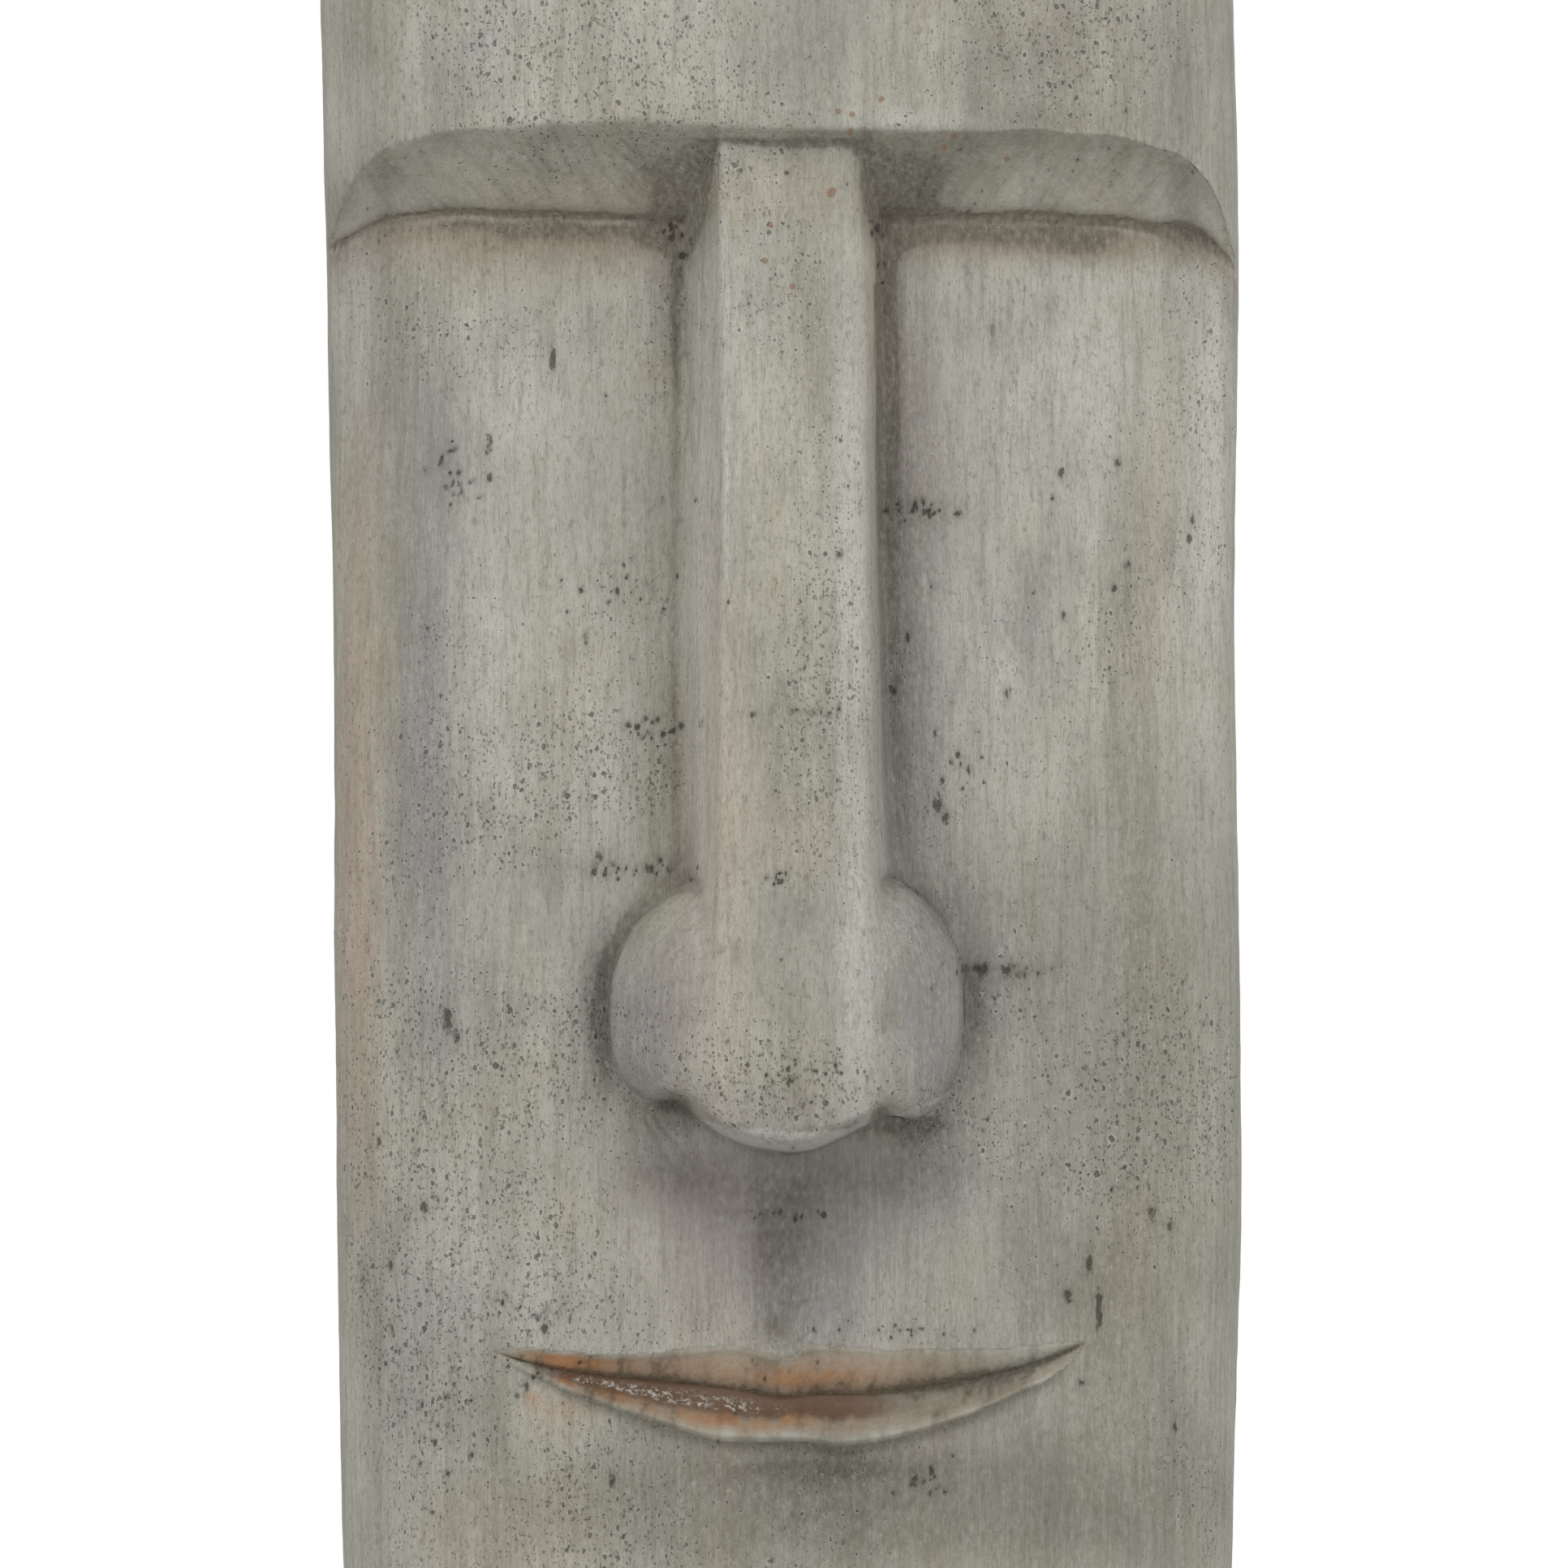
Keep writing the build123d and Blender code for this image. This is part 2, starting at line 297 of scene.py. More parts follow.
s_grid, path_grid = warped_rows()
turn = np.clip((path_grid - WALL_TOP) / TOP_EDGE, 0, math.pi / 2)
to_pole = unit((path_grid - ARC_TOP) / CAP)
foot = unit((FOOT_Z + FOOT_EDGE - path_grid) / FOOT_EDGE)
z_grid = np.minimum(path_grid, WALL_TOP) + TOP_EDGE * np.sin(turn)
z_grid = z_grid + TOP_CROWN * (1 - (1 - to_pole) ** 2)
draw_in = TOP_EDGE * (1 - np.cos(turn)) + FOOT_EDGE * (1 - np.sqrt(1 - foot**2))
x_flat, y_flat, nx_grid, ny_grid = section(s_grid)


def column():
    """x and y of the plain column at every grid point."""
    level = np.minimum(path_grid, HEIGHT)
    x = x_flat * curve(WIDTHS, level) / NOMINAL_WIDTH - nx_grid * draw_in
    y = y_flat * curve(DEPTHS, level) / NOMINAL_DEPTH - ny_grid * draw_in
    return x * (1 - to_pole), SEAM_Y + y * (1 - to_pole)


# ------ the face
def brow_lines(x):
    """Heights of the fold and of the forehead's edge."""
    wander = (0.5 * np.sin(x / 11.0) + 0.35 * np.sin(x / 4.3 + 1)) * step(30, 50, abs(x))
    crease = curve(CREASE, x) + 0.6 * wander
    edge = np.maximum(curve(BROW_EDGE, x) + 0.8 * wander, crease + 1.5)
    return crease, edge


def brow(wall, x, z, s):
    """The column's front, set back below the brow, with a slanting ledge under the forehead."""
    crease, edge = brow_lines(x)
    rise = unit((z - crease) / (edge - crease))
    depth = curve(SET_BACK, z) * fade(FRONT_ARC - LEDGE_FADE, FRONT_ARC + 4, abs(s))
    near = np.where(z < crease, (crease - z) / GROOVE_BELOW, (z - crease) / GROOVE_ABOVE)
    groove = GROOVE * np.exp(-near) * fade(FRONT_ARC - 30, FRONT_ARC, abs(s))
    groove = groove * step(24, 32, abs(x))
    return wall - depth * (1 - curve(LEDGE, rise)) - groove * (rise < 0.6)


def bridge(x, z):
    """Forward reach of the long flat nose: a crisp ridge on the left, a round one on the right."""
    left = above_zero(curve(RIDGE_LEFT, z) - x, 0.9) * curve(FLANK_LEFT, z)
    past = np.maximum(x - curve(RIDGE_RIGHT, z), 0)
    fall = curve(FLANK_RIGHT, z) * above_zero(past - SHOULDER_WIDTH, 2.0)
    right_side = SHOULDER * np.minimum(past, 1.6 * SHOULDER_WIDTH) ** 2 + fall
    front = NOSE_TIP - curve(RIDGE_BACK, z)
    return front - left - right_side - 0.4 * np.cos(x / 9.0)


def bulb_place(x, z):
    """Direction from the bulb's middle, and distance from it as a share of the outline's."""
    across, rise = x - BULB_MIDDLE[0], z - BULB_MIDDLE[1]
    angle = np.arctan2(rise, across)
    return angle, np.hypot(across, rise) / bulb_reach(angle)


def bevel_line(x):
    """Height of the line above the light bevel on the tip of the nose."""
    return BEVEL_LINE[0] + BEVEL_LINE[1] * x**2


def nose(x, z):
    """The bridge running down into the bulb, which is round above and cut off below."""
    angle, reach = bulb_place(x, z)
    down = unit(-np.sin(angle)) ** 2.4
    power = 2.6 + 20 * down
    height = (NOSE_TIP - 1.2 - NOSE_FOOT) * np.sqrt(unit(1 - reach**power))
    height = height - 3.0 * down * unit(reach) ** 6  # the rounding towards its lower edge
    # shallow dents between the bridge and the wings
    height = height - 0.9 * bump(x, z, -34, 334, 7, 20) - 0.6 * bump(x, z, 34.5, 330, 6, 22)
    nostrils = 9 * bump(x, z, -39.0, 294.6, 5.0, 2.8) + 5 * bump(x, z, 38, 289, 4, 2.4)
    below_line = bevel_line(x) - z
    bevel = BEVEL_SLOPE * above_zero(below_line, 0.5) * (z < BULB_MIDDLE[1])
    notch = 0.7 * line(below_line, 0.9) * fade(8, 22, abs(x))
    body = NOSE_FOOT + height - nostrils - bevel - notch - 40 * unit(reach - 1)
    outside = step(0.86, 1.0, reach) * fade(350, 374, z) * step(24, 38, abs(x))
    outside = np.maximum(outside, step(0.9, 1.0, reach) * (z < BULB_MIDDLE[1]))
    return higher(bridge(x, z) - bevel - OUT_OF_SIGHT * outside, body, BULB_BLEND)


def lip_shares(z, top, parting, foot_line):
    """How far down the upper and the lower lip a height is, from 0 to 1."""
    upper = unit((top - z) / np.maximum(top - parting, THIN_LIP))
    return upper, unit((parting - z) / np.maximum(parting - foot_line, THIN_LIP))


def mouth(x, z):
    """Rise and fall of the mouth: a slanting upper lip, the parting and a fuller lower lip."""
    top, parting, foot_line = curve(LIP_TOP, x), curve(PARTING, x), curve(LIP_FOOT, x)
    inside = (x > MOUTH_LEFT[0]) & (x < MOUTH_RIGHT[0])
    size = unit((top - foot_line) / FULL_LIPS) * inside
    depth, rim = MOUTH_DEPTH * size, LOWER_RIM * size
    upper, under = lip_shares(z, top, parting, foot_line)
    level = curve(LIP_ROUND, under)
    lower_lip = np.where(level < 0, level * depth, level / 0.58 * rim)
    softness = 1.2 + 0.9 * step(5, 50, x)  # on the right the upper lip dips nearer the parting
    shape = np.where(z > parting, -depth * upper**softness, lower_lip)
    above, inward = np.maximum(z - top, 0), np.maximum(top - z, 0)
    outside = above + np.maximum(foot_line - z, 0)
    edge_roll = np.exp(-((above / 5.0) ** 2) - (inward / 1.5) ** 2)
    edge_roll = (1 - 0.8 * step(5, 50, x)) * size * edge_roll
    dip = np.where(z < foot_line, -size * np.exp(-outside / 9.0), 0)
    crack = 1.3 * line(z - parting, 0.8) * step(0.02, 0.3, size)
    shape = np.where((z > top) | (z < foot_line), 0, shape)
    return shape + edge_roll + dip - crack


def philtrum(x, z):
    """The shallow channel under the nose and the dent above the lip."""
    channel = 1.1 * bump(x, z, 1, 246, 14, 26)
    sharp_side = 0.5 * fade(-15, -9.0, x) * bump(x, z, -12, 248, 6, 18)
    return channel - sharp_side + 2.4 * bump(x, z, -5.6, 219.0, 6, 5.5)


x_column, y_column = column()
on_face = (abs(s_grid) < SEAM_S) & (path_grid < 700)


def carved(with_nose):
    """y of every grid point once the face is cut into the column's front."""
    forward = brow(-y_column, x_column, z_grid, s_grid)
    if with_nose:
        forward = forward + mouth(x_column, z_grid) - philtrum(x_column, z_grid)
        root = 1.2 + 3.4 * step(350, 400, z_grid) * fade(570, 606, z_grid)
        forward = np.where(abs(x_column) < 80, higher(forward, nose(x_column, z_grid), root),
                           forward)
    return np.where(on_face, -forward, y_column)


y_carved = carved(True)
y_core = carved(False)


# ------ hand-made unevenness
def normals(x, y, z):
    """Outward unit direction at every grid point, from the grid's own slopes."""
    points = np.stack([x, y, z], -1)
    along_s = np.gradient(points, axis=1)
    along_s[:, 0] = along_s[:, -1] = (points[:, 1] - points[:, -2]) / 2
    along_z = np.gradient(points, axis=0)
    facing = np.cross(along_s, along_z)
    length = np.linalg.norm(facing, axis=-1, keepdims=True)
    facing = facing / np.maximum(length, 1e-9)
    facing[-1] = (0, 0, 1)
    return points, facing


LEAN_SHIFT = curve(LEAN, np.minimum(z_grid, HEIGHT)) * (1 - to_pole)
quiet_foot = step(4, 40, z_grid)
wobble = (0.9 * noise(3, 160, 130, 2) + 0.35 * noise(4, 46, 60, 2)) * quiet_foot
hand = 0.16 * noise(5, 7.0, 70, 2) + 0.12 * noise(6, 12, 14, 3)  # small marks of the hand

base_points, facing = normals(x_column + LEAN_SHIFT, y_carved, z_grid)

# ------ pits, scratches and cracks
rng = np.random.default_rng(11)
pit_depth = np.zeros_like(s_grid)
pit_dark = np.zeros_like(s_grid)


def window(s, z, reach_s, reach_z):
    """The grid's rows and columns round a place."""
    a, b = np.searchsorted(around, [s - reach_s, s + reach_s])
    c, d = np.searchsorted(up, [z - reach_z - 6, z + reach_z + 6])
    return slice(c, max(d, c + 1)), slice(a, max(b, a + 1))


def press(where, depth, dark):
    """Leaves a mark, except where the surface is already deeper or darker."""
    pit_depth[where] = np.maximum(pit_depth[where], depth)
    pit_dark[where] = np.maximum(pit_dark[where], dark)


def pit(s, z, radius, stretch, depth, dark):
    """One air hole, with its dark stain."""
    where = window(s, z, radius * 3, radius * 3 * stretch)
    far = ((s_grid[where] - s) / radius) ** 2 + ((path_grid[where] - z) / radius / stretch) ** 2
    hole = unit(1 - far) ** 2
    stain = 0.8 * np.exp(-far / 0.7) + 0.2 * np.exp(-far / 5.0)
    press(where, depth * radius * hole, dark * stain)


STRAY_PITS = 1800
TOOL_MARKS = 70
BRUSH_GROOVES = 90
OVERLAP = 1.7  # holes made for each one counted below, as many lie over one another
# Rows and clusters of holes on the face: middle x and z, half spread in x and z, count, radius.
HOLE_ROWS = [
    (4, 423.5, 17, 1.2, 12, 1.3), (-49, 371, 18, 3, 17, 1.3), (47, 491, 11, 2.5, 15, 1.3),
    (70, 338, 15, 2, 12, 1.4), (-2, 257, 14, 1, 10, 1.4), (-84, 225, 14, 4, 14, 1.3),
    (36, 218.5, 24, 2, 12, 1.1), (0, 303, 22, 9, 44, 0.95), (-55, 463, 20, 9, 14, 1.1),
    (-43, 418, 13, 4, 12, 1.3), (-109, 503, 9, 11, 14, 1.4), (0, 369, 9, 1.5, 7, 1.2),
    (-37, 583, 6, 3, 12, 1.3), (32, 566, 4, 16, 10, 1.1), (60, 405, 10, 8, 8, 1.3),
    (-118, 190, 14, 22, 12, 1.1), (-82, 205, 10, 8, 8, 1.1), (46, 168, 9, 5, 9, 1.2),
]
# Where small holes crowd: amount, x, z, reach in x, reach in z.
CROWDS = [
    (0.4, 0, 304, 22, 12), (0.7, -55, 463, 24, 16), (0.7, 93, 410, 34, 40), (0.6, 78, 350, 20, 26),
    (0.8, -95, 212, 44, 36), (0.7, -126, 190, 14, 60), (0.6, -40, 612, 90, 10), (0.5, 110, 470, 18, 34),
    (0.6, -80, 330, 34, 44), (0.7, 50, 390, 12, 18), (0.6, -60, 645, 90, 26), (0.5, 70, 655, 80, 36),
    (0.5, 5, 480, 18, 60), (0.5, 46, 285, 18, 14), (0.6, -112, 430, 22, 60), (0.9, -50, 418, 24, 34),
    (0.6, 0, 570, 16, 30), (0.5, 0, 400, 18, 30), (0.6, 120, 300, 20, 60), (0.5, -110, 300, 20, 40),
    (0.6, -40, 540, 10, 40),
]
# Dark streaks and blots: x, z, radius, stretch.
BLOTS = [
    (-76.7, 541.6, 1.9, 3.2), (-98, 513, 1.6, 3.4), (-98, 502, 1.6, 1.4), (-113, 322, 2.2, 3),
    (-110, 316, 1.8, 2), (-121.5, 259.5, 1.9, 2), (-117, 262, 1.2, 1.5), (50.5, 393, 2.6, 1.6),
    (53, 389, 2, 1.4), (42.5, 168.5, 2.6, 1.1), (48, 172, 1.6, 1.5), (55, 177, 1.3, 1),
    (-59.5, 168.5, 1.7, 2.2), (121, 257, 2.2, 1.6), (127, 253, 1.8, 1.2), (100, 241, 1.6, 4),
    (103.5, 226, 1.7, 6), (93, 230, 2.4, 1.4), (111, 507, 1.8, 1.6), (92, 503.5, 1.6, 1.8),
    (136, 488, 1.5, 2), (135, 482, 1.5, 1.6), (114.5, 473, 1.6, 1.2), (110, 465, 1.6, 1.4),
    (93, 456, 1.4, 1.6), (74, 430, 1.6, 1.8), (41, 449, 1.7, 1.8), (36, 431, 1.6, 2.2),
    (1.6, 602.8, 1.3, 1), (18.5, 476, 1.6, 1.5), (73, 338, 2.6, 1), (64, 337.5, 1.8, 1.2),
    (-136, 281, 1.5, 1.8), (-133, 240, 1.5, 2.2), (-82, 219, 1.8, 1.2), (-10, 423, 1.7, 1),
    (-62, 376, 2, 1.4), (-88, 200, 1.3, 2.4), (130, 186, 1.4, 2.4), (98, 201, 1.5, 1.6),
    (-148.8, 581, 2, 1.2), (-33, 576, 2.6, 0.8), (-37, 582, 1.8, 0.8), (31, 585, 2, 1.4),
]


def face_s(x):
    """Distance round the outline of a place on the face."""
    out = np.clip((abs(x) - FRONT_FLAT) / FRONT_CORNER, 0, 0.999)
    return np.sign(x) * np.where(abs(x) < FRONT_FLAT, abs(x),
                                 FRONT_FLAT + FRONT_CORNER * np.arcsin(out))


for middle_x, middle_z, spread_x, spread_z, count, size in HOLE_ROWS:
    for _ in range(round(OVERLAP * count)):
        x = middle_x + spread_x * np.clip(rng.normal(0, 0.55), -1.2, 1.2)
        z = middle_z + spread_z * np.clip(rng.normal(0, 0.6), -1.5, 1.5)
        radius = size * rng.uniform(0.4, 1.0)
        pit(face_s(x), z, radius, rng.uniform(0.8, 1.9), rng.uniform(0.5, 1.0),
            rng.uniform(0.6, 1.0))
for x, z, radius, stretch in BLOTS:
    pit(face_s(x), z, radius, stretch, 0.4, 0.85)

crowd_noise = noise(21, 90, 60, 3)
for _ in range(STRAY_PITS):
    i, j = rng.integers(len(up) - 30), rng.integers(len(around))
    if crowd_noise[i, j] < rng.uniform(-0.7, 0.9):
        continue
    radius = 0.55 + rng.exponential(0.25)
    pit(around[j], up[i], min(radius, 1.6), rng.uniform(1.0, 2.4), rng.uniform(0.3, 0.9),
        rng.uniform(0.35, 0.7))


def stroke(points, width, depth, dark):
    """A scratch or a crack along a run of (x, z) points."""
    for (x0, z0), (x1, z1) in zip(points, points[1:]):
        s0, s1 = face_s(x0), face_s(x1)
        where = window((s0 + s1) / 2, (z0 + z1) / 2, abs(s1 - s0) / 2 + 3, abs(z1 - z0) / 2 + 3)
        ds, dz = s_grid[where] - s0, path_grid[where] - z0
        length = (s1 - s0) ** 2 + (z1 - z0) ** 2
        along = unit((ds * (s1 - s0) + dz * (z1 - z0)) / length)
        off = np.hypot(ds - along * (s1 - s0), dz - along * (z1 - z0))
        mark = line(off, width)
        press(where, depth * mark, dark * mark)


CRACKS = [
    [(-48, 290), (-44, 282), (-41.5, 277), (-36, 269)], [(-45, 290), (-41, 284), (-37, 280)],
    [(-34, 572), (-32.4, 560), (-32.8, 548), (-31.4, 534), (-32, 522), (-30, 508)],
    [(-37, 560), (-35.6, 551), (-36, 541), (-34, 530)],
    [(-25, 258), (-19, 257), (-13, 258.3), (-4, 257.4), (2, 256.2), (9, 257)],
    [(-10, 229), (-7.5, 226), (-4.5, 222.5)], [(-3, 228), (2, 226.5), (6, 229)],
    [(37.5, 366), (42, 364.5), (46.5, 361), (50.5, 356.5), (53, 352)],
    [(-27, 571), (-26, 560), (-26.8, 548)], [(29.5, 566), (30.2, 552), (29.6, 538)],
]
for crack in CRACKS:
    stroke(crack, 0.7, 0.5, 0.42)
for _ in range(TOOL_MARKS):  # slanting across the ledge
    x = rng.choice([-1, 1, 1]) * rng.uniform(42, 132)
    z = rng.uniform(590, 604)
    tilt = rng.uniform(5, 12) * (1 if x > 0 else -1)
    stroke([(x, z), (x + tilt, z + rng.uniform(8, 16))], rng.uniform(0.6, 1.3), 0.45,
           rng.uniform(0.2, 0.48))
for _ in range(BRUSH_GROOVES):  # down the whole head
    s = rng.uniform(-HALF_ROUND, HALF_ROUND)
    z = rng.uniform(20, 760)
    reach = rng.uniform(20, 70)
    where = window(s, z, 2.5, reach)
    fade_out = np.exp(-(((path_grid[where] - z) / reach * 1.8) ** 2))
    mark = line(s_grid[where] - s, 0.7) * fade_out
    press(where, 0.28 * mark, rng.uniform(0.15, 0.4) * mark)

seam_line = line(abs(s_grid) - SEAM_S, 1.2) * (0.35 + 0.2 * noise(8, 60, 30))
pit_dark = pit_dark * fade(0.0, 0.6, to_pole)
relief = wobble + hand * fade(0.0, 0.35, to_pole) - pit_depth - seam_line * (to_pole == 0)
relief = relief * fade(0.3, 0.95, to_pole)
outer = base_points + facing * relief[..., None]
outer[..., 2] = np.clip(outer[..., 2], FOOT_Z, HEIGHT)
outer[:, -1] = outer[:, 0]


# ------ what colour each place is given: stain, and painted shade and highlight
def blurred(field, reach):
    """The field averaged over a few grid cells each way."""
    for axis in (0, 1):
        for _ in range(3):
            total = np.cumsum(np.pad(field, [(reach + 1, reach) if a == axis else (0, 0)
                                             for a in (0, 1)], mode="edge"), axis=axis)
            span = 2 * reach + 1
            high = np.take(total, np.arange(span, total.shape[axis]), axis=axis)
            low = np.take(total, np.arange(0, total.shape[axis] - span), axis=axis)
            field = (high - low) / span
    return field


# Where each stain, painted shade and painted highlight is on the face: amount, x, z, reach in x, reach
# in z.
# Violet-grey paint, partly tint and partly painted shade: under the nose, beside its right flank and
# round the wings.
VIOLET_SPOTS = [
    (0.9, -119, 440, 10, 100), (0.5, -117, 350, 8, 60), (0.9, 44, 500, 14, 60), (0.8, 40, 400, 13, 60),
    (0.9, 62, 340, 13, 40), (0.85, -65, 333, 9, 34), (1, 2, 262, 44, 20), (0.6, -36, 276, 24, 14),
    (0.9, 2, 246, 26, 18), (0.6, -3, 232, 12, 14), (0.7, 46, 274, 24, 16), (0.8, -47, 320, 13, 22),
    (0.75, 47, 324, 12, 28), (0.7, 133, 640, 9, 60), (0.4, 20, 170, 50, 14), (0.6, -38, 562, 9, 20),
    (0.45, 0, 215, 70, 40), (0.5, -128, 215, 14, 60), (0.3, -60, 500, 26, 30), (0.5, -48, 308, 12, 14),
    (0.4, 50, 300, 10, 14), (0.35, 0, 292, 34, 8),
]
BLUSH_SPOTS = [
    (1, -142, 400, 8, 95), (0.7, -144, 320, 7, 60), (1, -24, 402, 10, 72), (0.4, -27, 500, 7, 40),
    (0.8, -98, 582, 42, 6), (0.8, 95, 580, 42, 6), (0.4, -30, 596, 60, 8), (0.7, 30, 560, 6, 28),
    (0.4, 0, 388, 20, 8), (0.45, -95, 150, 30, 16), (0.5, -75, 192, 16, 6), (0.3, 5, 375, 16, 8),
    (0.3, 126, 480, 10, 60),
]
OLIVE_SPOTS = [
    (0.4, -147, 400, 8, 120), (0.6, -45, 480, 10, 80), (0.5, -44, 400, 9, 34), (0.7, 114, 300, 34, 60),
    (0.6, 104, 228, 40, 30), (1, 12, 162, 74, 20), (0.6, -60, 160, 60, 14), (1, 108, 165, 40, 34),
    (0.6, 0, 148, 60, 18), (0.6, -135, 655, 12, 30), (0.6, 70, 655, 12, 34), (0.5, -60, 655, 8, 34),
    (0.5, 96, 640, 7, 30), (0.5, 0, 400, 16, 40), (0.4, 135, 520, 8, 60), (0.6, 0, 616, 120, 6),
    (0.5, 70, 604, 60, 14), (0.6, -70, 602, 70, 14), (0.5, 100, 640, 34, 26), (0.3, 104, 238, 26, 26),
    (0.8, 104, 352, 28, 42), (0.4, 110, 200, 20, 20), (0.35, -120, 500, 14, 60), (0.3, 0, 350, 24, 30),
]
# Pale paint, partly rubbed paint and partly painted highlight: along the nose's ridges, on the rims of
# its wings, along the forehead's edge and on the bevel under its tip.
PALE_SPOTS = [
    (0.9, 40, 620.5, 22, 3.2), (1, -28, 480, 6, 120), (0.2, -27, 400, 5, 60),
    (0.9, 21.5, 470, 5.5, 120), (0.7, 20, 335, 6, 34), (1.3, -19.6, 540, 1.2, 80),
    (0.5, -6, 611, 16, 1.6), (0.5, 26, 345, 5, 40), (0.5, -85, 530, 22, 18), (0.4, -98, 420, 9, 80),
    (0.85, 95, 530, 34, 24), (0.4, 142, 450, 9, 110), (0.5, -60, 400, 12, 50), (0.3, 96, 262, 16, 20),
    (0.4, -104, 238, 14, 20), (0.4, 100, 568, 40, 5), (0.4, -4, 655, 22, 30), (0.9, 1, 282, 20, 4),
    (0.4, -92, 655, 8, 26), (0.5, -57, 318, 2.5, 30), (0.6, 56, 320, 2.5, 30), (0.3, 70, 460, 12, 60),
]
# Dark paint, partly soiling and partly painted shade: at the root of the nose under the ledge, round
# the bulb, under its wings and nostrils, under the nose, under the lower lip and at the ends of the
# ledge.
GRIME_AND_SHADE_SPOTS = [
    (0.9, -37, 602, 17, 13), (0.9, 41, 600, 16, 13), (0.4, -132, 604, 12, 8), (0.5, -145, 594, 7, 8),
    (1, -34, 588, 8, 9), (1, 40, 588, 9, 9), (0.8, -27, 598, 4, 16), (0.8, 29, 600, 4, 16),
    (0.4, -62, 326, 6, 26), (0.35, 62, 330, 6, 28), (0.5, -36, 271, 16, 9), (0.5, 38, 272, 20, 9),
    (0.35, 0, 268, 40, 8), (0.3, 44, 470, 9, 90), (0.3, -50, 352, 9, 10), (0.3, 56, 362, 12, 10),
    (0.3, 0, 240, 12, 24), (0.22, 10, 645, 26, 26), (0.5, 100, 578, 34, 5), (0.25, -36, 420, 4, 60),
    (0.5, 33, 540, 5, 50), (0.5, -36, 560, 5, 26), (0.4, -62, 320, 4, 26), (0.35, -60, 372, 22, 6),
    (0.4, 48, 491, 12, 5), (0.4, 72, 338, 16, 4), (0.3, -9, 246, 5, 14), (0.45, 0, 262, 40, 12),
    (0.6, 10, 173, 54, 6), (0.5, 20, 158, 56, 18), (0.35, 104, 160, 30, 24), (0.35, 112, 290, 26, 44),
    (0.4, 3, 248, 22, 14), (0.3, -4, 232, 9, 12), (0.3, 96, 622, 34, 5), (0.25, 132, 640, 10, 30),
    (0.16, 0, 650, 40, 20), (0.22, 104, 236, 24, 20), (0.3, 102, 352, 28, 40), (0.25, 6, 160, 40, 14),
    (0.1, 0, 300, 26, 8), (0.22, 90, 650, 40, 22), (0.5, -38, 288, 10, 5), (0.5, 40, 284, 12, 5),
    (1.2, -39, 293.4, 6, 2), (0.8, 45, 287, 7, 2.2), (0.5, -150, 584, 4, 12), (0.4, 64, 318, 5, 30),
]
# Specks of rust: x, z.
RUST_SPOTS = [
    (23.6, 622.1), (19, 623.2), (33.6, 627.3), (22.9, 616.7), (57.2, 615.1), (54, 611.6),
    (74.8, 607.3), (16, 595.6), (16.5, 596.9), (-4.4, 585.6), (-6.2, 573.6), (3.0, 565.0),
]


def spots(marks, x, z):
    return sum(amount * bump(x, z, *place) for amount, *place in marks)


x_face, z_face = base_points[..., 0] - LEAN_SHIFT, z_grid
in_front = abs(s_grid) < FRONT_ARC
face = step(SEAM_S - 20, FRONT_ARC, abs(s_grid)) * fade(690, 720, z_face)
below_top = fade(-0.4, 0.3, to_pole + (turn - math.pi / 2) / 2)
patchy = 0.5 + 0.5 * noise(31, 40, 70, 3) * below_top


def crevices(x, z):
    """1 in the hollows of the face, wide and fine ones: where painted shade darkens the colour."""
    forward = -y_carved
    reach = max(2, round(9 / COARSE))
    hollow = np.where(on_face, blurred(forward, reach) - forward, 0)
    fine = np.where(on_face, blurred(forward, max(1, reach // 3)) - forward, 0)
    by_nose = step(-37, -32, x) * (x < -15) * step(375, 395, z) * fade(560, 590, z) * face
    by_mouth = bump(x, z, 0, 196, 100, 24) * face
    return unit(unit(hollow / 3.5) + unit(fine / 0.9)) * (1 - 0.75 * by_nose) * (1 - 0.55 * by_mouth)


def wash(tone, x, z):
    """Tints of the wash over the whole head, and the darkening of its hollows, painted shade with some
    settled wash.
    """
    streaky = 0.5 + 0.5 * noise(32, 9, 160, 3) * below_top
    tone.violet = spots(VIOLET_SPOTS, x, z) * face * (0.7 + 0.6 * streaky)
    tone.violet += 0.55 * unit(noise(33, 70, 180, 2) - 0.25) * (0.4 + 0.6 * patchy)
    tone.blush = spots(BLUSH_SPOTS, x, z) * face * (0.7 + 0.4 * patchy)
    tone.blush += 0.5 * unit(noise(34, 60, 120, 2) - 0.35) * (1 - 0.6 * face)
    tone.olive = spots(OLIVE_SPOTS, x, z) * face
    tone.olive += 0.7 * unit(noise(36, 16, 220, 3) - 0.05)
    tone.pale = spots(PALE_SPOTS, x, z) * face + 0.6 * unit(noise(35, 50, 120, 2) - 0.1)
    # painted shade in the hollows, plus the listed spots of soiling and painted shade
    tone.grime = 0.85 * crevices(x, z) * (0.5 + 0.5 * patchy) + spots(GRIME_AND_SHADE_SPOTS, x, z) * face


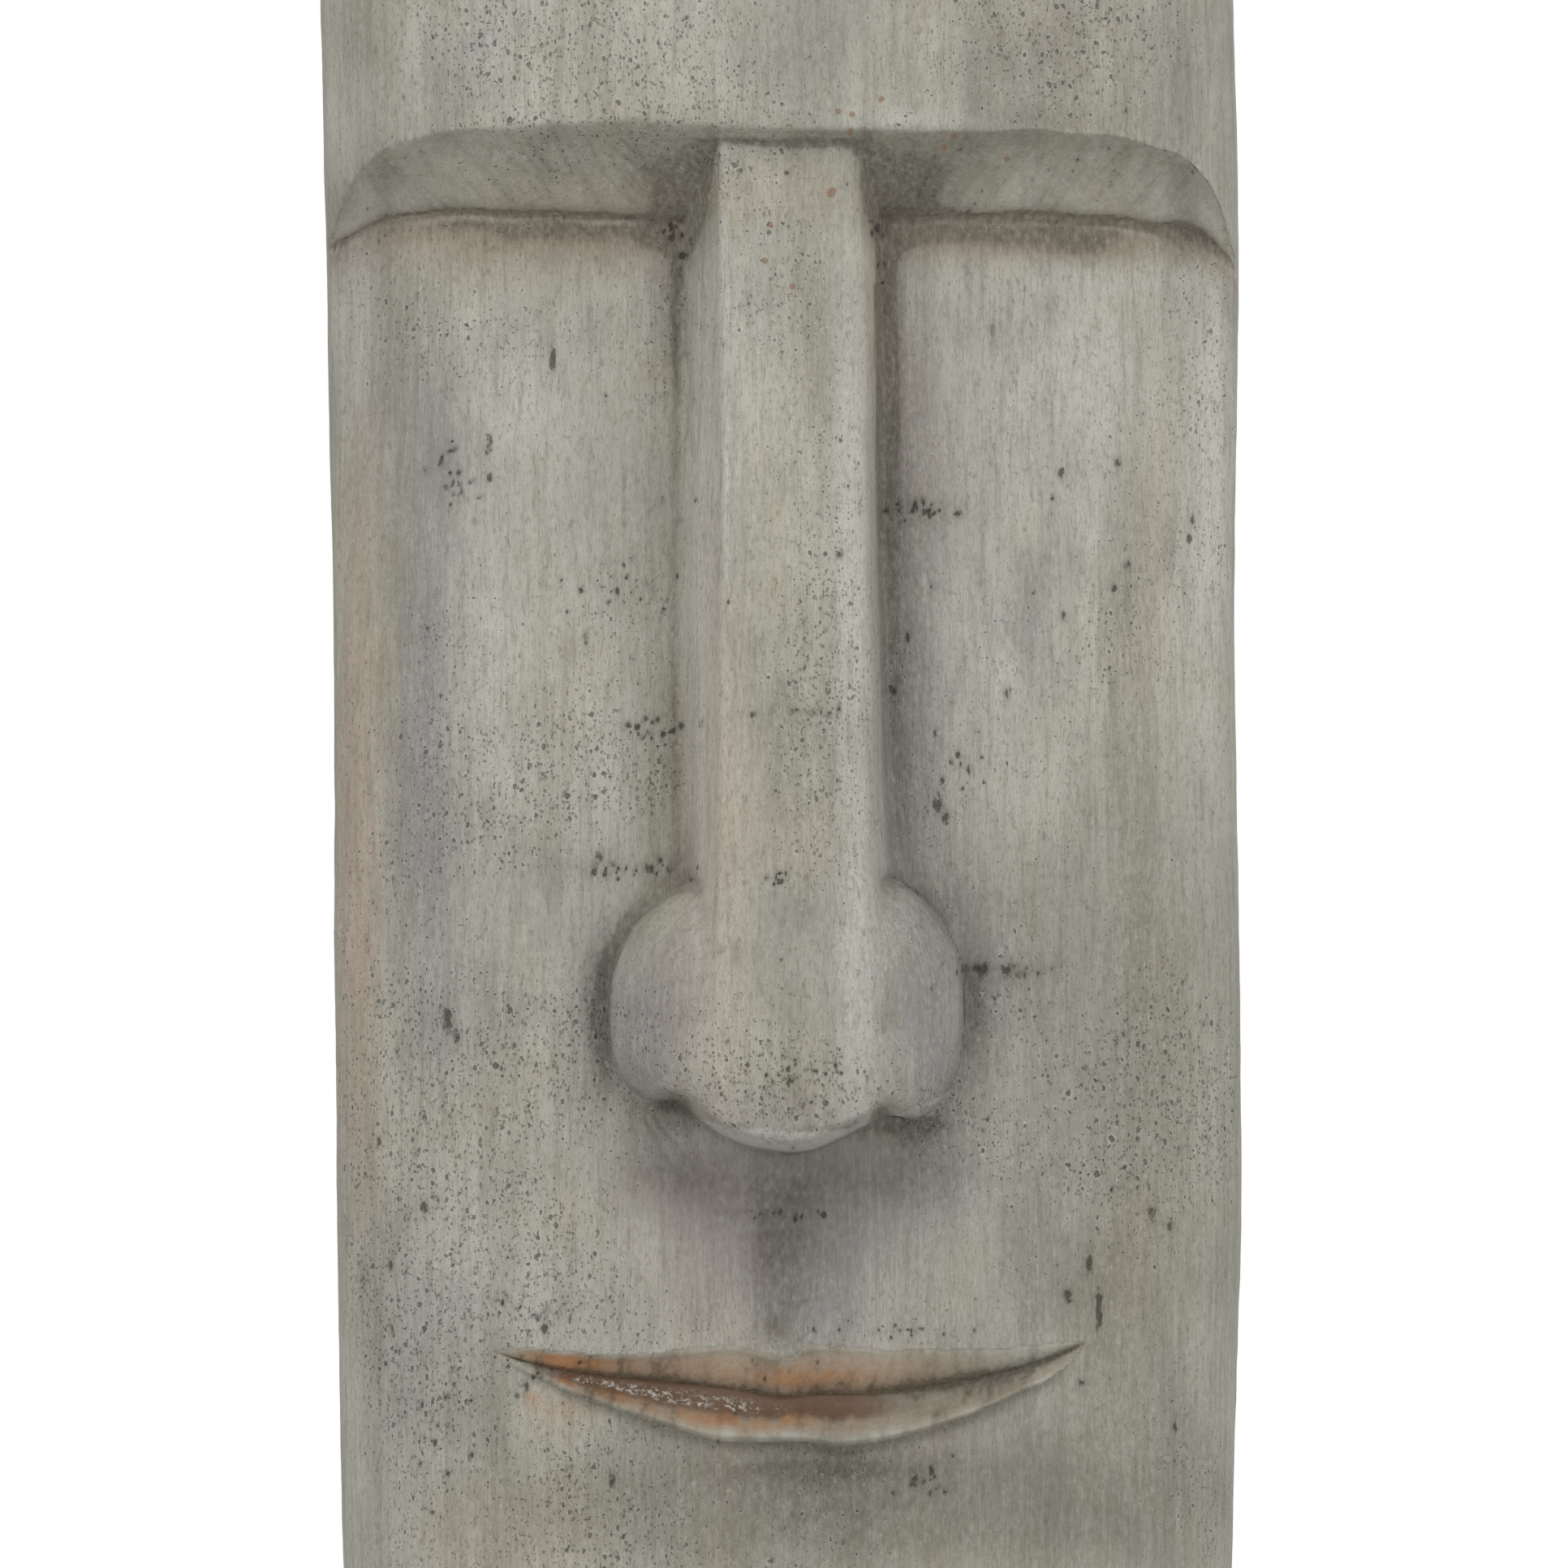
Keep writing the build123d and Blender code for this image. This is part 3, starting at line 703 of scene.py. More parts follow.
def brow_dirt_and_shade(tone, x, z):
    """Darker paint on the ledge and in the fold under it, partly soiling and partly painted shade,
    darkest under the forehead's edge and along the fold, with a pale line just below the fold; gives
    back where the ledge is.
    """
    crease, edge = brow_lines(x)
    rise = (z - crease) / (edge - crease)
    ledge = step(-0.02, 0.05, rise) * fade(0.97, 1.03, rise) * in_front
    ledge = ledge * np.maximum(step(22, 34, abs(x)), step(610, 612.5, z))
    ledge = ledge * fade(138, 150, abs(x))
    tone.grime += 0.3 * ledge * unit(noise(42, 14, 14, 2))
    # painted shade on the ledge, darkest under the forehead's edge and at the fold
    bands = 0.35 + 0.5 * step(0.72, 0.86, rise) + 0.8 * step(0.3, 0.0, rise)
    tone.grime += 0.31 * ledge * bands * (0.6 + 0.5 * patchy)
    drop = np.maximum(crease - z, 0)
    on_left = step(0, -60, x)
    # dark paint under the fold, partly soiling and partly painted shade under the brow
    under_fold = line(drop, 10 + 5 * on_left) * (rise < 0.05) * (z > 540) * in_front
    under_fold = under_fold * step(28, 36, abs(x)) * (1 - 0.65 * step(100, 124, abs(x)))
    blotches = np.clip(0.95 + 0.4 * noise(43, 22, 14, 3) + 0.2 * on_left, 0.5, 1.4)
    tone.grime += 1.2 * under_fold * blotches * step(0.5, 5.0, drop)
    tone.grime += 0.5 * under_fold * fade(0.6, 2.0, drop)
    tone.blush += 1.1 * under_fold * blotches
    tone.pale += 0.8 * line(drop - 2.6 + 0.8 * noise(44, 12, 12, 2), 0.9) * under_fold
    return ledge


def tip_wear_and_light(tone, x, z):
    """Pale paint on the bevel under the tip of the nose, partly rubbed paint and partly painted
    highlight, and darker paint in the notch above it, partly soiling and partly painted shade.
    """
    on_bulb = (bulb_place(x, z)[1] < 1.02) & (z < BULB_MIDDLE[1]) & in_front
    below_line = bevel_line(x) - z
    # the bevel's pale paint is partly a painted highlight; the notch's dark paint below is partly
    # painted shade
    tone.pale += 2.2 * step(-0.4, 1.0, below_line) * on_bulb
    notch = line(below_line + 0.5, 0.8) * (abs(x) < 22) * on_bulb
    tone.grime += 1.2 * notch * unit(0.2 + noise(49, 5, 5, 2))


def lip_paint(tone, x, z):
    """Worn orange and wet brown paint in the mouth, pale lip edges that are partly painted highlight,
    darker paint at the parting that is partly painted shade, and where painted reflections go; gives
    back where the lips are.
    """
    top = curve(LIP_TOP, x) + 0.8 * noise(45, 7, 30, 3)
    parting = curve(PARTING, x) + 0.25 * noise(46, 6, 30, 2)
    lip_foot = curve(LIP_FOOT, x) + 0.5 * noise(47, 8, 30, 2)
    drips = noise(48, 5, 40, 3)
    lips = in_front & (x > MOUTH_LEFT[0]) & (x < MOUTH_RIGHT[0]) & (z < top + 0.3) & (z > lip_foot)
    upper_lip = lips * (z > parting)
    lower_lip = lips * (z <= parting)
    upper, under = lip_shares(z, top, parting, lip_foot)
    upper = upper * (z > parting)

    coloured = step(-97, -88, x) * fade(40, 84, x)
    start = step(-86, -72, x)
    band = line(under - 0.60 + 0.12 * drips, 0.14 + 0.06 * patchy) * lower_lip * start
    tone.orange = upper_lip * step(0.0, 0.3, upper) * coloured * (
        0.22 + 1.2 * bump(x, z, -72, 209.5, 13, 5) + 0.65 * bump(x, z, 6, 202.5, 24, 4)
        + 0.25 * bump(x, z, -40, 206, 20, 4))
    tone.orange += 1.3 * band * (1 - 0.8 * step(-26, 34, x)) * (0.75 + 0.5 * drips)
    tone.orange += 0.5 * bump(x, z, -85, 196, 3, 2.5) + 0.3 * bump(x, z, -75, 192, 6, 4)
    tone.brown = lower_lip * fade(0.40, 0.60, under + 0.08 * drips) * start
    tone.brown = tone.brown * fade(18, 50, x)
    # where the painted reflections on the wet paint go
    glint_row = line(under - 0.33, 0.13) * step(-80, -70, x) * fade(-24, 8, x)
    tone.gloss = tone.brown * (0.6 + 0.4 * glint_row)
    tone.brown = tone.brown + 0.6 * band * fade(-30, 10, x) * unit(0.6 + drips)

    worn = 0.42 * upper_lip * coloured * (0.5 + patchy) * (1 - 0.6 * step(10, 60, x))
    tone.blush = np.where(lips, worn + 0.25 * lower_lip * step(20, 60, x), tone.blush)
    # pale lip edges: partly paint and partly painted highlight
    rim = lower_lip * step(0.76, 0.9, under) + 0.6 * upper_lip * fade(0.0, 0.14, upper)
    tone.pale = np.where(lips, 0.42 * rim * np.clip(0.7 + drips, 0, 1.4), tone.pale)
    tone.violet = np.where(lips, 0, tone.violet)
    tone.olive = np.where(lips, 0.45 * patchy + 0.2, tone.olive)
    # darker paint under the upper lip and along the parting: partly soiling and partly painted shade
    green = upper_lip * step(0.58, 0.9, upper) * step(-94, -84, x) * fade(58, 80, x)
    off_parting = z - parting
    soiled = 0.26 + 0.30 * lower_lip * fade(0.4, 0.9, under) + 0.3 * unit(-drips)
    soiled += 0.7 * unit(noise(50, 3.5, 9, 3))
    dirt_and_shade = 0.62 * green + 0.6 * line(off_parting, 2.6) * step(20, 50, x)
    dirt_and_shade += 0.81 * line(off_parting, 0.5) + soiled * patchy
    tone.grime = np.where(lips, dirt_and_shade, tone.grime)
    return lips


def stains_and_painted_light():
    """Paint, soiling, wear, painted shade and painted highlights at every grid point: three sets of
    four numbers from 0 to 1.
    """
    x, z, tone = x_face, z_face, SimpleNamespace()
    wash(tone, x, z)
    ledge = brow_dirt_and_shade(tone, x, z)
    tip_wear_and_light(tone, x, z)
    lips = lip_paint(tone, x, z)
    crowd = 0.43 + 0.50 * noise(37, 60, 50, 3) + 0.8 * spots(CROWDS, x, z) * face
    crowd = crowd * np.where(lips, 0.25, 1) * (1 - 0.35 * ledge)
    crowd = 0.4 + (crowd - 0.4) * below_top
    rust = sum(bump(x, z, *place, 1.25, 1.25) for place in RUST_SPOTS) * face
    smooth = unit(0.6 * ledge + lips + 0.8 * bump(x, z, 0, 264, 50, 18))
    layers = {
        "paint": (tone.violet * below_top, tone.blush * below_top, tone.orange,
                  tone.pale * below_top),
        # soiling and painted shade, dark in the pits, wet brown paint, and its gloss with where the
        # painted reflections go
        "dirt_and_shade": (tone.grime, pit_dark, tone.brown, tone.gloss),
        "wear": (crowd, tone.olive * below_top, rust, smooth),
    }
    return {name: unit(np.stack(parts, -1)) for name, parts in layers.items()}


stain_and_light_layers = stains_and_painted_light()


# ------ meshes
INNER_SKIP = 8  # the inside takes one of this many columns of points
MOUTH_ROOM = 4.0  # the wall is thicker behind the mouth
LEDGE_ROOM = 7.0  # and behind the two ends of the ledge


def inner_points():
    """The inside of the wall: the plain carved column drawn in by the wall's thickness."""
    inward = WALL * np.cos(turn)
    x = x_column + LEAN_SHIFT - nx_grid * inward * (1 - to_pole)
    y = y_core - ny_grid * inward * (1 - to_pole)
    room = MOUTH_ROOM * bump(x_column, z_grid, 0, 203, 90, 26)
    room += LEDGE_ROOM * bump(abs(x_column), z_grid, 143, 586, 16, 22)
    y = y + np.where(on_face, room, 0)
    z = z_grid - WALL * np.sin(turn)
    points = np.stack([x, y, z], -1)
    points[-1] = (0, SEAM_Y, HEIGHT - WALL)
    return points


def quads(a, b, c, d):
    """Rows of four corners, from four grids of point numbers."""
    return np.stack([a.ravel(), b.ravel(), c.ravel(), d.ravel()], -1)


def shell_faces(out_at, in_at, sparse, pole_out, pole_in):
    """Corners of a half shell's faces one after another, how many each has, and which are smooth."""
    curved = np.concatenate([
        quads(out_at[:-1, :-1], out_at[:-1, 1:], out_at[1:, 1:], out_at[1:, :-1]),
        quads(in_at[:-1, 1:], in_at[:-1, :-1], in_at[1:, :-1], in_at[1:, 1:])])
    seams = np.concatenate([
        quads(out_at[1:, 0], in_at[1:, 0], in_at[:-1, 0], out_at[:-1, 0]),
        quads(out_at[:-1, -1], in_at[:-1, -1], in_at[1:, -1], out_at[1:, -1])])
    flat = [(pole_out, pole_in, in_at[-1, 0], out_at[-1, 0]),
            (out_at[-1, -1], in_at[-1, -1], pole_in, pole_out)]
    for k in range(len(sparse) - 1):  # the foot
        arc = out_at[0, sparse[k]:sparse[k + 1] + 1]
        flat.append((in_at[0, k], in_at[0, k + 1], *arc[::-1]))
    fans = [(a, b, pole_out) for a, b in zip(out_at[-1, :-1], out_at[-1, 1:])]
    fans += [(b, a, pole_in) for a, b in zip(in_at[-1, :-1], in_at[-1, 1:])]
    corners = np.concatenate([curved.ravel(), seams.ravel(), *[np.array(f) for f in flat + fans]])
    sizes = np.array([4] * (len(curved) + len(seams)) + [len(f) for f in flat + fans])
    smooth = np.repeat([True, False, True], [len(curved), len(seams) + len(flat), len(fans)])
    return corners, sizes, smooth


def shell(name, columns):
    """A closed half shell from a run of grid columns: outside, inside, two seams and the foot."""
    columns = np.asarray(columns)
    sparse = np.append(np.arange(0, len(columns) - 1, INNER_SKIP), len(columns) - 1)
    rows = len(up) - 1  # the last row is one point, the pole
    outside = outer[:rows, columns]
    inside = inner_points()[:rows, columns[sparse]]
    points = np.concatenate([outside.reshape(-1, 3), inside.reshape(-1, 3),
                             outer[-1:, 0], [[0, SEAM_Y, HEIGHT - WALL]]])
    out_at = np.arange(rows * len(columns)).reshape(rows, -1)
    in_at = out_at.size + np.arange(rows * len(sparse)).reshape(rows, -1)
    corners, sizes, smooth = shell_faces(out_at, in_at, sparse, len(points) - 2, len(points) - 1)

    mesh = bpy.data.meshes.new(name)
    mesh.vertices.add(len(points))
    mesh.vertices.foreach_set("co", (points * MM).astype(np.float32).ravel())
    mesh.loops.add(len(corners))
    mesh.loops.foreach_set("vertex_index", corners.astype(np.int32))
    mesh.polygons.add(len(sizes))
    mesh.polygons.foreach_set("loop_start", np.append(0, np.cumsum(sizes)[:-1]).astype(np.int32))
    mesh.polygons.foreach_set("use_smooth", smooth)
    mesh.update(calc_edges=True)
    mesh.validate()
    for label, values in stain_and_light_layers.items():
        padded = np.zeros((len(points), 4))
        padded[:out_at.size] = values[:rows, columns].reshape(-1, 4)
        layer = mesh.attributes.new(label, "FLOAT_COLOR", "POINT")
        layer.data.foreach_set("color", padded.astype(np.float32).ravel())
    piece = bpy.data.objects.new(name, mesh)
    bpy.context.scene.collection.objects.link(piece)
    return piece


# ------ materials
def linear(red, green, blue):
    """A colour given as it looks on a screen, from 0 to 255, as Blender's linear numbers."""
    parts = [value / 255 for value in (red, green, blue)]
    return tuple(p / 12.92 if p < 0.04045 else ((p + 0.055) / 1.055) ** 2.4 for p in parts) + (1,)


class Graph:
    """A material's node tree, built by short calls. It holds the colour laid so far."""

    def __init__(self, name):
        self.material = bpy.data.materials.new(name)
        self.material.use_nodes = True
        self.tree = self.material.node_tree
        self.tree.nodes.clear()
        self.place = self.out("TexCoord", output="Object")
        self.colour = None

    def node(self, kind, inputs=(), **settings):
        made = self.tree.nodes.new(f"ShaderNode{kind}")
        for key, value in settings.items():
            setattr(made, key, value)
        for key, value in dict(inputs).items():
            if isinstance(value, bpy.types.NodeSocket):
                self.tree.links.new(value, made.inputs[key])
            else:
                made.inputs[key].default_value = value
        return made

    def out(self, kind, inputs=(), output=0, **settings):
        """One output of a new node, the first unless another is asked for."""
        return self.node(kind, inputs, **settings).outputs[output]

    def scaled(self, scale):
        return self.out("Mapping", {"Vector": self.place, "Scale": scale})

    def noise(self, scale, detail=3.0, roughness=0.55):
        return self.out("TexNoise", {"Vector": self.scaled(scale), "Scale": 1.0,
                                     "Detail": detail, "Roughness": roughness})

    def cells(self, scale):
        return self.out("TexVoronoi", {"Vector": self.scaled(scale), "Scale": 1.0})

    def shaken(self, reach, scale):
        """The place, moved about by noise so that outlines come out ragged."""
        noise = {"Vector": self.place, "Scale": scale, "Detail": 3.0}
        away = self.out("VectorMath", {0: self.out("TexNoise", noise, "Color"), 1: (0.5,) * 3},
                        operation="SUBTRACT")
        moved = self.out("VectorMath", {0: away, 1: (reach,) * 3, 2: self.place},
                         operation="MULTIPLY_ADD")
        return self.out("Mapping", {"Vector": moved, "Scale": (1, 1, 0.7)})

    def holes(self, place, scale, amount, radius):
        """Scattered small holes and their rims; amount says how many cells have one."""
        cell = self.node("TexVoronoi", {"Vector": place, "Scale": scale})
        chance = self.out("SeparateColor", {"Color": cell.outputs["Color"]})
        size = self.math("SUBTRACT", self.math("ADD", chance, amount), 1.0)
        size = self.times(size, radius / 0.6)
        inward = self.math("SUBTRACT", size, cell.outputs["Distance"])
        hole = self.span(inward, -0.02, 0.08)
        rim = self.times(self.span(inward, -0.16, -0.06), self.span(size, 0.0, 0.05))
        return hole, self.math("SUBTRACT", rim, hole)

    def span(self, value, low, high, to_low=0.0, to_high=1.0):
        """The stretch from low to high of a value, laid onto another stretch."""
        return self.out("MapRange", {"Value": value, "From Min": low, "From Max": high,
                                     "To Min": to_low, "To Max": to_high})

    def math(self, operation, a, b):
        return self.out("Math", {0: a, 1: b}, operation=operation)

    def times(self, first, *others):
        """The product of two or more values."""
        for value in others:
            first = self.math("MULTIPLY", first, value)
        return first

    def broken(self, mask, ragged, share):
        """A stain's mask, broken up by ragged noise."""
        return self.times(mask, self.span(ragged, 0.28, 0.66, 0.5, 1.15), share)

    def mix(self, share, a, b):
        return self.out("Mix", {0: share, 6: a, 7: b}, 2, data_type="RGBA")

    def over(self, share, tone):
        """Lays a tone over the colour so far."""
        self.colour = self.mix(share, self.colour, tone)

    def parts(self, attribute):
        """The four numbers of a stain attribute."""
        read = self.node("Attribute", attribute_name=attribute)
        split = self.node("SeparateColor", {"Color": read.outputs["Color"]})
        return [*split.outputs[:3], read.outputs["Alpha"]]

    def finish(self, roughness, height, bump_mm, others=()):
        """Ends the tree with its shader, and gives back the material."""
        raised = {"Height": height, "Strength": 1.0, "Distance": bump_mm * MM}
        shader = {"Base Color": self.colour, "Roughness": roughness, "Specular IOR Level": 0.35,
                  "Normal": self.out("Bump", raised), **dict(others)}
        self.node("OutputMaterial", {"Surface": self.out("BsdfPrincipled", shader)})
        return self.material


STONE_MID = linear(172, 170, 156)
STONE_LIGHT = linear(193, 191, 179)
STONE_DARK = linear(128, 125, 110)
VIOLET = linear(137, 132, 138)
BLUSH = linear(190, 166, 148)
SAND = linear(186, 176, 152)
ORANGE = linear(188, 129, 77)
BROWN = linear(96, 66, 44)
# the colour of soiling and of painted shade
GRIME_AND_SHADE = linear(88, 82, 67)
PIT = linear(50, 49, 40)
# also the colour of painted highlights and painted reflections
PALE = linear(210, 210, 203)
RUST = linear(138, 106, 82)


def tinted_stone(g, ragged):
    """The grey wash with its patches of colour, and the stain, painted shade and painted highlight
    masks laid in their places.
    """
    violet, blush, orange, pale = g.parts("paint")
    olive = g.parts("wear")[1]
    band = g.noise((85, 85, 5), 3)
    mottle = g.noise((34, 34, 22), 5, 0.62)
    tint = g.noise((26, 26, 15), 4, 0.6)
    g.colour = g.mix(g.span(mottle, 0.36, 0.66), STONE_MID, STONE_LIGHT)
    g.over(g.span(band, 0.50, 0.72, 0.0, 0.30), STONE_DARK)
    g.over(g.span(tint, 0.53, 0.70, 0.0, 0.46), VIOLET)
    g.over(g.span(tint, 0.47, 0.30, 0.0, 0.42), SAND)
    # violet and pale are partly painted shade and painted highlight
    stains_and_light_over = ((olive, 0.62, STONE_DARK), (violet, 0.80, VIOLET), (blush, 0.66, BLUSH),
                   (pale, 0.62, PALE), (orange, 1.0, ORANGE))
    for mask, share, tone in stains_and_light_over:
        g.over(g.broken(mask, ragged, share), tone)


def brushed_over(g, hair, strand, brushed):
    """Fine and coarse brush marks and specks, which the smooth places have few of."""
    long_hair = g.noise((1250, 1250, 22), 3, 0.6)
    patches = g.span(g.noise((40, 40, 16), 3), 0.40, 0.60)
    speck = g.noise((620, 620, 360), 5, 0.72)
    marks = (
        (g.times(g.span(long_hair, 0.50, 0.74), patches), 0.0, 1.0, 0.42, STONE_DARK),
        (g.times(g.span(long_hair, 0.47, 0.26), patches), 0.0, 1.0, 0.34, STONE_LIGHT),
        (strand, 0.50, 0.70, 0.42, STONE_DARK), (strand, 0.46, 0.28, 0.34, STONE_LIGHT),
        (hair, 0.52, 0.74, 0.62, STONE_DARK), (hair, 0.45, 0.26, 0.42, STONE_LIGHT),
        (speck, 0.56, 0.66, 0.62, STONE_DARK), (speck, 0.40, 0.32, 0.26, PALE),
    )
    for field, low, high, share, tone in marks:
        g.over(g.times(g.span(field, low, high, 0.0, share), brushed), tone)


# Layers of air holes: cells to the metre, largest radius in cells, how many of the cells have one,
# how dark and how deep.
HOLE_LAYERS = ((210, 0.25, 0.46, 0.66, 1.5), (440, 0.27, 0.72, 0.58, 1.1),
               (950, 0.32, 0.84, 0.45, 0.6))
CAST_RELIEF = 0.62  # height of the finest marks, in millimetres


def pitted(g, ragged, height):
    """The holes, dark inside and pale round the larger ones; gives back the height with them."""
    crowd = g.parts("wear")[0]
    blot = g.parts("dirt_and_shade")[1]
    ragged_place = g.shaken(0.0022, 620)
    marks = g.times(blot, 0.34)
    rims = []
    for scale, radius, density, dark, depth in HOLE_LAYERS:
        hole, rim = g.holes(ragged_place, scale, g.times(crowd, density), radius)
        rims.append(rim)
        marks = g.math("MAXIMUM", marks, g.times(hole, dark))
        height = g.math("SUBTRACT", height, g.times(hole, depth))
    torn_blot = g.math("ADD", blot, g.times(ragged, 1.5))
    core = g.times(g.span(torn_blot, 1.27, 1.50), g.span(blot, 0.10, 0.30))
    g.over(g.times(g.math("MAXIMUM", rims[0], rims[1]), 0.22), PALE)
    g.over(g.math("MAXIMUM", marks, g.times(core, 0.80)), PIT)
    return g.math("SUBTRACT", height, g.times(core, 0.8))


def painted_glints(g, gloss):
    """Pale flecks on the wet paint in the mouth: painted reflections of the lamps."""
    flecks = g.span(g.noise((460, 460, 620), 6, 0.8), 0.51, 0.55)
    rows = g.span(g.noise((120, 120, 160), 2), 0.36, 0.50)
    return g.times(flecks, rows, g.span(gloss, 0.62, 0.9))


def painted_cast():
    """Cement cast with a brushed grey wash; dark paint in the hollows, partly soiling and partly
    painted shade; rubbed pale edges, partly painted highlight.
    """
    g = Graph("painted_cast")
    grime, _, brown, gloss = g.parts("dirt_and_shade")
    rust, smooth = g.parts("wear")[2:]
    brushed = g.span(smooth, 0.0, 1.0, 1.0, 0.25)
    hair = g.noise((1500, 1500, 300), 3, 0.65)
    strand = g.noise((430, 430, 34), 4, 0.62)
    grain = g.noise((1900, 1900, 1300), 2)
    ragged = g.noise((560, 560, 330), 4, 0.65)
    height = g.times(hair, 0.70, brushed)
    for fine in (g.times(strand, 0.5, brushed), g.times(grain, 0.35), g.times(ragged, 0.45)):
        height = g.math("ADD", height, fine)

    tinted_stone(g, ragged)
    brushed_over(g, hair, strand, brushed)
    # soiling and painted shade: shade painted into the hollows, under the ledge, round the nose and
    # under the lips; the darkest of it nearly black
    g.over(g.broken(grime, ragged, 0.68), GRIME_AND_SHADE)
    g.over(g.broken(g.span(grime, 0.75, 1.0), ragged, 0.26), PIT)
    g.over(g.times(brown, 0.90), BROWN)
    height = pitted(g, ragged, height)
    torn_rust = g.math("ADD", rust, g.times(ragged, 0.5))
    g.over(g.span(torn_rust, 0.62, 0.82, 0.0, 0.75), RUST)
    g.over(g.span(grain, 0.40, 0.75, 0.0, 0.20), STONE_DARK)
    # painted reflections on the wet paint
    g.over(g.times(painted_glints(g, gloss), 0.75), PALE)

    wet = g.span(ragged, 0.40, 0.64, 0.50, 0.22)
    dry = g.span(ragged, 0.3, 0.7, 0.88, 0.66)
    return g.finish(g.out("Mix", {0: gloss, 2: dry, 3: wet}), height, CAST_RELIEF)


def bare_cast():
    """Unpainted cement with trowel marks and air holes."""
    g = Graph("bare_cast")
    cloud = g.noise((30, 30, 30), 5)
    trowel = g.noise((60, 420, 420), 3)
    grit = g.noise((1400, 1400, 1400), 2)
    holes = g.span(g.cells((210, 210, 210)), 0.22, 0.10)
    g.colour = g.mix(g.span(cloud, 0.35, 0.68), linear(132, 130, 122), linear(164, 161, 151))
    g.over(g.span(grit, 0.5, 0.8, 0.0, 0.4), linear(104, 102, 95))
    g.over(g.times(holes, 0.7), GRIME_AND_SHADE)
    height = g.math("SUBTRACT", g.math("ADD", trowel, g.times(grit, 0.4)), holes)
    return g.finish(g.span(cloud, 0.3, 0.7, 0.95, 0.82), height, 0.6)


def glass_cloth():
    """Woven glass strip soaked in cement slurry."""
    g = Graph("glass_cloth")
    weave = g.times(*[g.out("TexWave", {"Vector": g.place, "Scale": 170.0}, "Fac",
                            wave_type="BANDS", bands_direction=axis) for axis in ("Y", "Z")])
    cloud = g.noise((70, 70, 70), 4)
    g.colour = g.mix(g.span(weave, 0.1, 0.8), linear(140, 138, 128), linear(198, 196, 186))
    g.over(g.span(cloud, 0.5, 0.75, 0.0, 0.8), linear(150, 147, 138))
    return g.finish(g.span(cloud, 0.3, 0.7, 0.7, 0.5), weave, 0.35)


def foot_rubber():
    """Dark moulded rubber, scuffed."""
    g = Graph("foot_rubber")
    scuff = g.noise((260, 260, 260), 5, 0.7)
    grit = g.noise((1600, 1600, 1600), 2)
    g.colour = g.mix(g.span(scuff, 0.45, 0.75), linear(38, 38, 39), linear(72, 71, 69))
    return g.finish(g.span(scuff, 0.3, 0.7, 0.72, 0.5), grit, 0.15)


painted = painted_cast()
last = len(around) - 1
SHELLS = {"front_shell": range(seam_left, seam_right + 1),
          "back_shell": [*range(seam_right, last), *range(0, seam_left + 1)]}
for node, columns in SHELLS.items():
    piece = shell(f"{node}_cast", columns)
    piece.data.materials.append(painted)
    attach(piece, "root")
    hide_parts(node)

KEPT_NODES = {
    bare_cast: ["base_plate", "base_bead"],
    glass_cloth: ["seam_strip_left", "seam_strip_right", "seam_strip_top"],
    foot_rubber: [f"foot_pad_{row}_{side}" for row in ("front", "rear")
                  for side in ("left", "right")],
}
for make_material, names in KEPT_NODES.items():
    look = make_material()
    for name in names:
        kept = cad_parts[name]
        kept.data.materials.clear()
        kept.data.materials.append(look)


# ------ studio
CAMERA_DISTANCE = 8.0  # from the place that the span is taken at
SPAN_Y = -0.06
VIEW_HEIGHT = 0.4001
VIEW_SPAN = 0.5238  # what the photograph's frame takes in there
SENSOR = 36.0
FLOOR_RADIUS = 4.0
GLOW_REACH = (0.9, 3.6)  # the floor's glow grows between these distances from the head
GLOW = (0.35, 0.9)
WORLD_LIGHT = 0.48
LIT_PLACE = Vector((0, 0, 0.42))
# Each lamp's name, place, size and power.
LAMPS = (("key", (-1.5, -2.1, 1.5), 1.5, 15), ("fill", (1.9, -1.5, 1.3), 1.6, 16),
         ("top", (0.0, -1.0, 2.2), 1.4, 9))


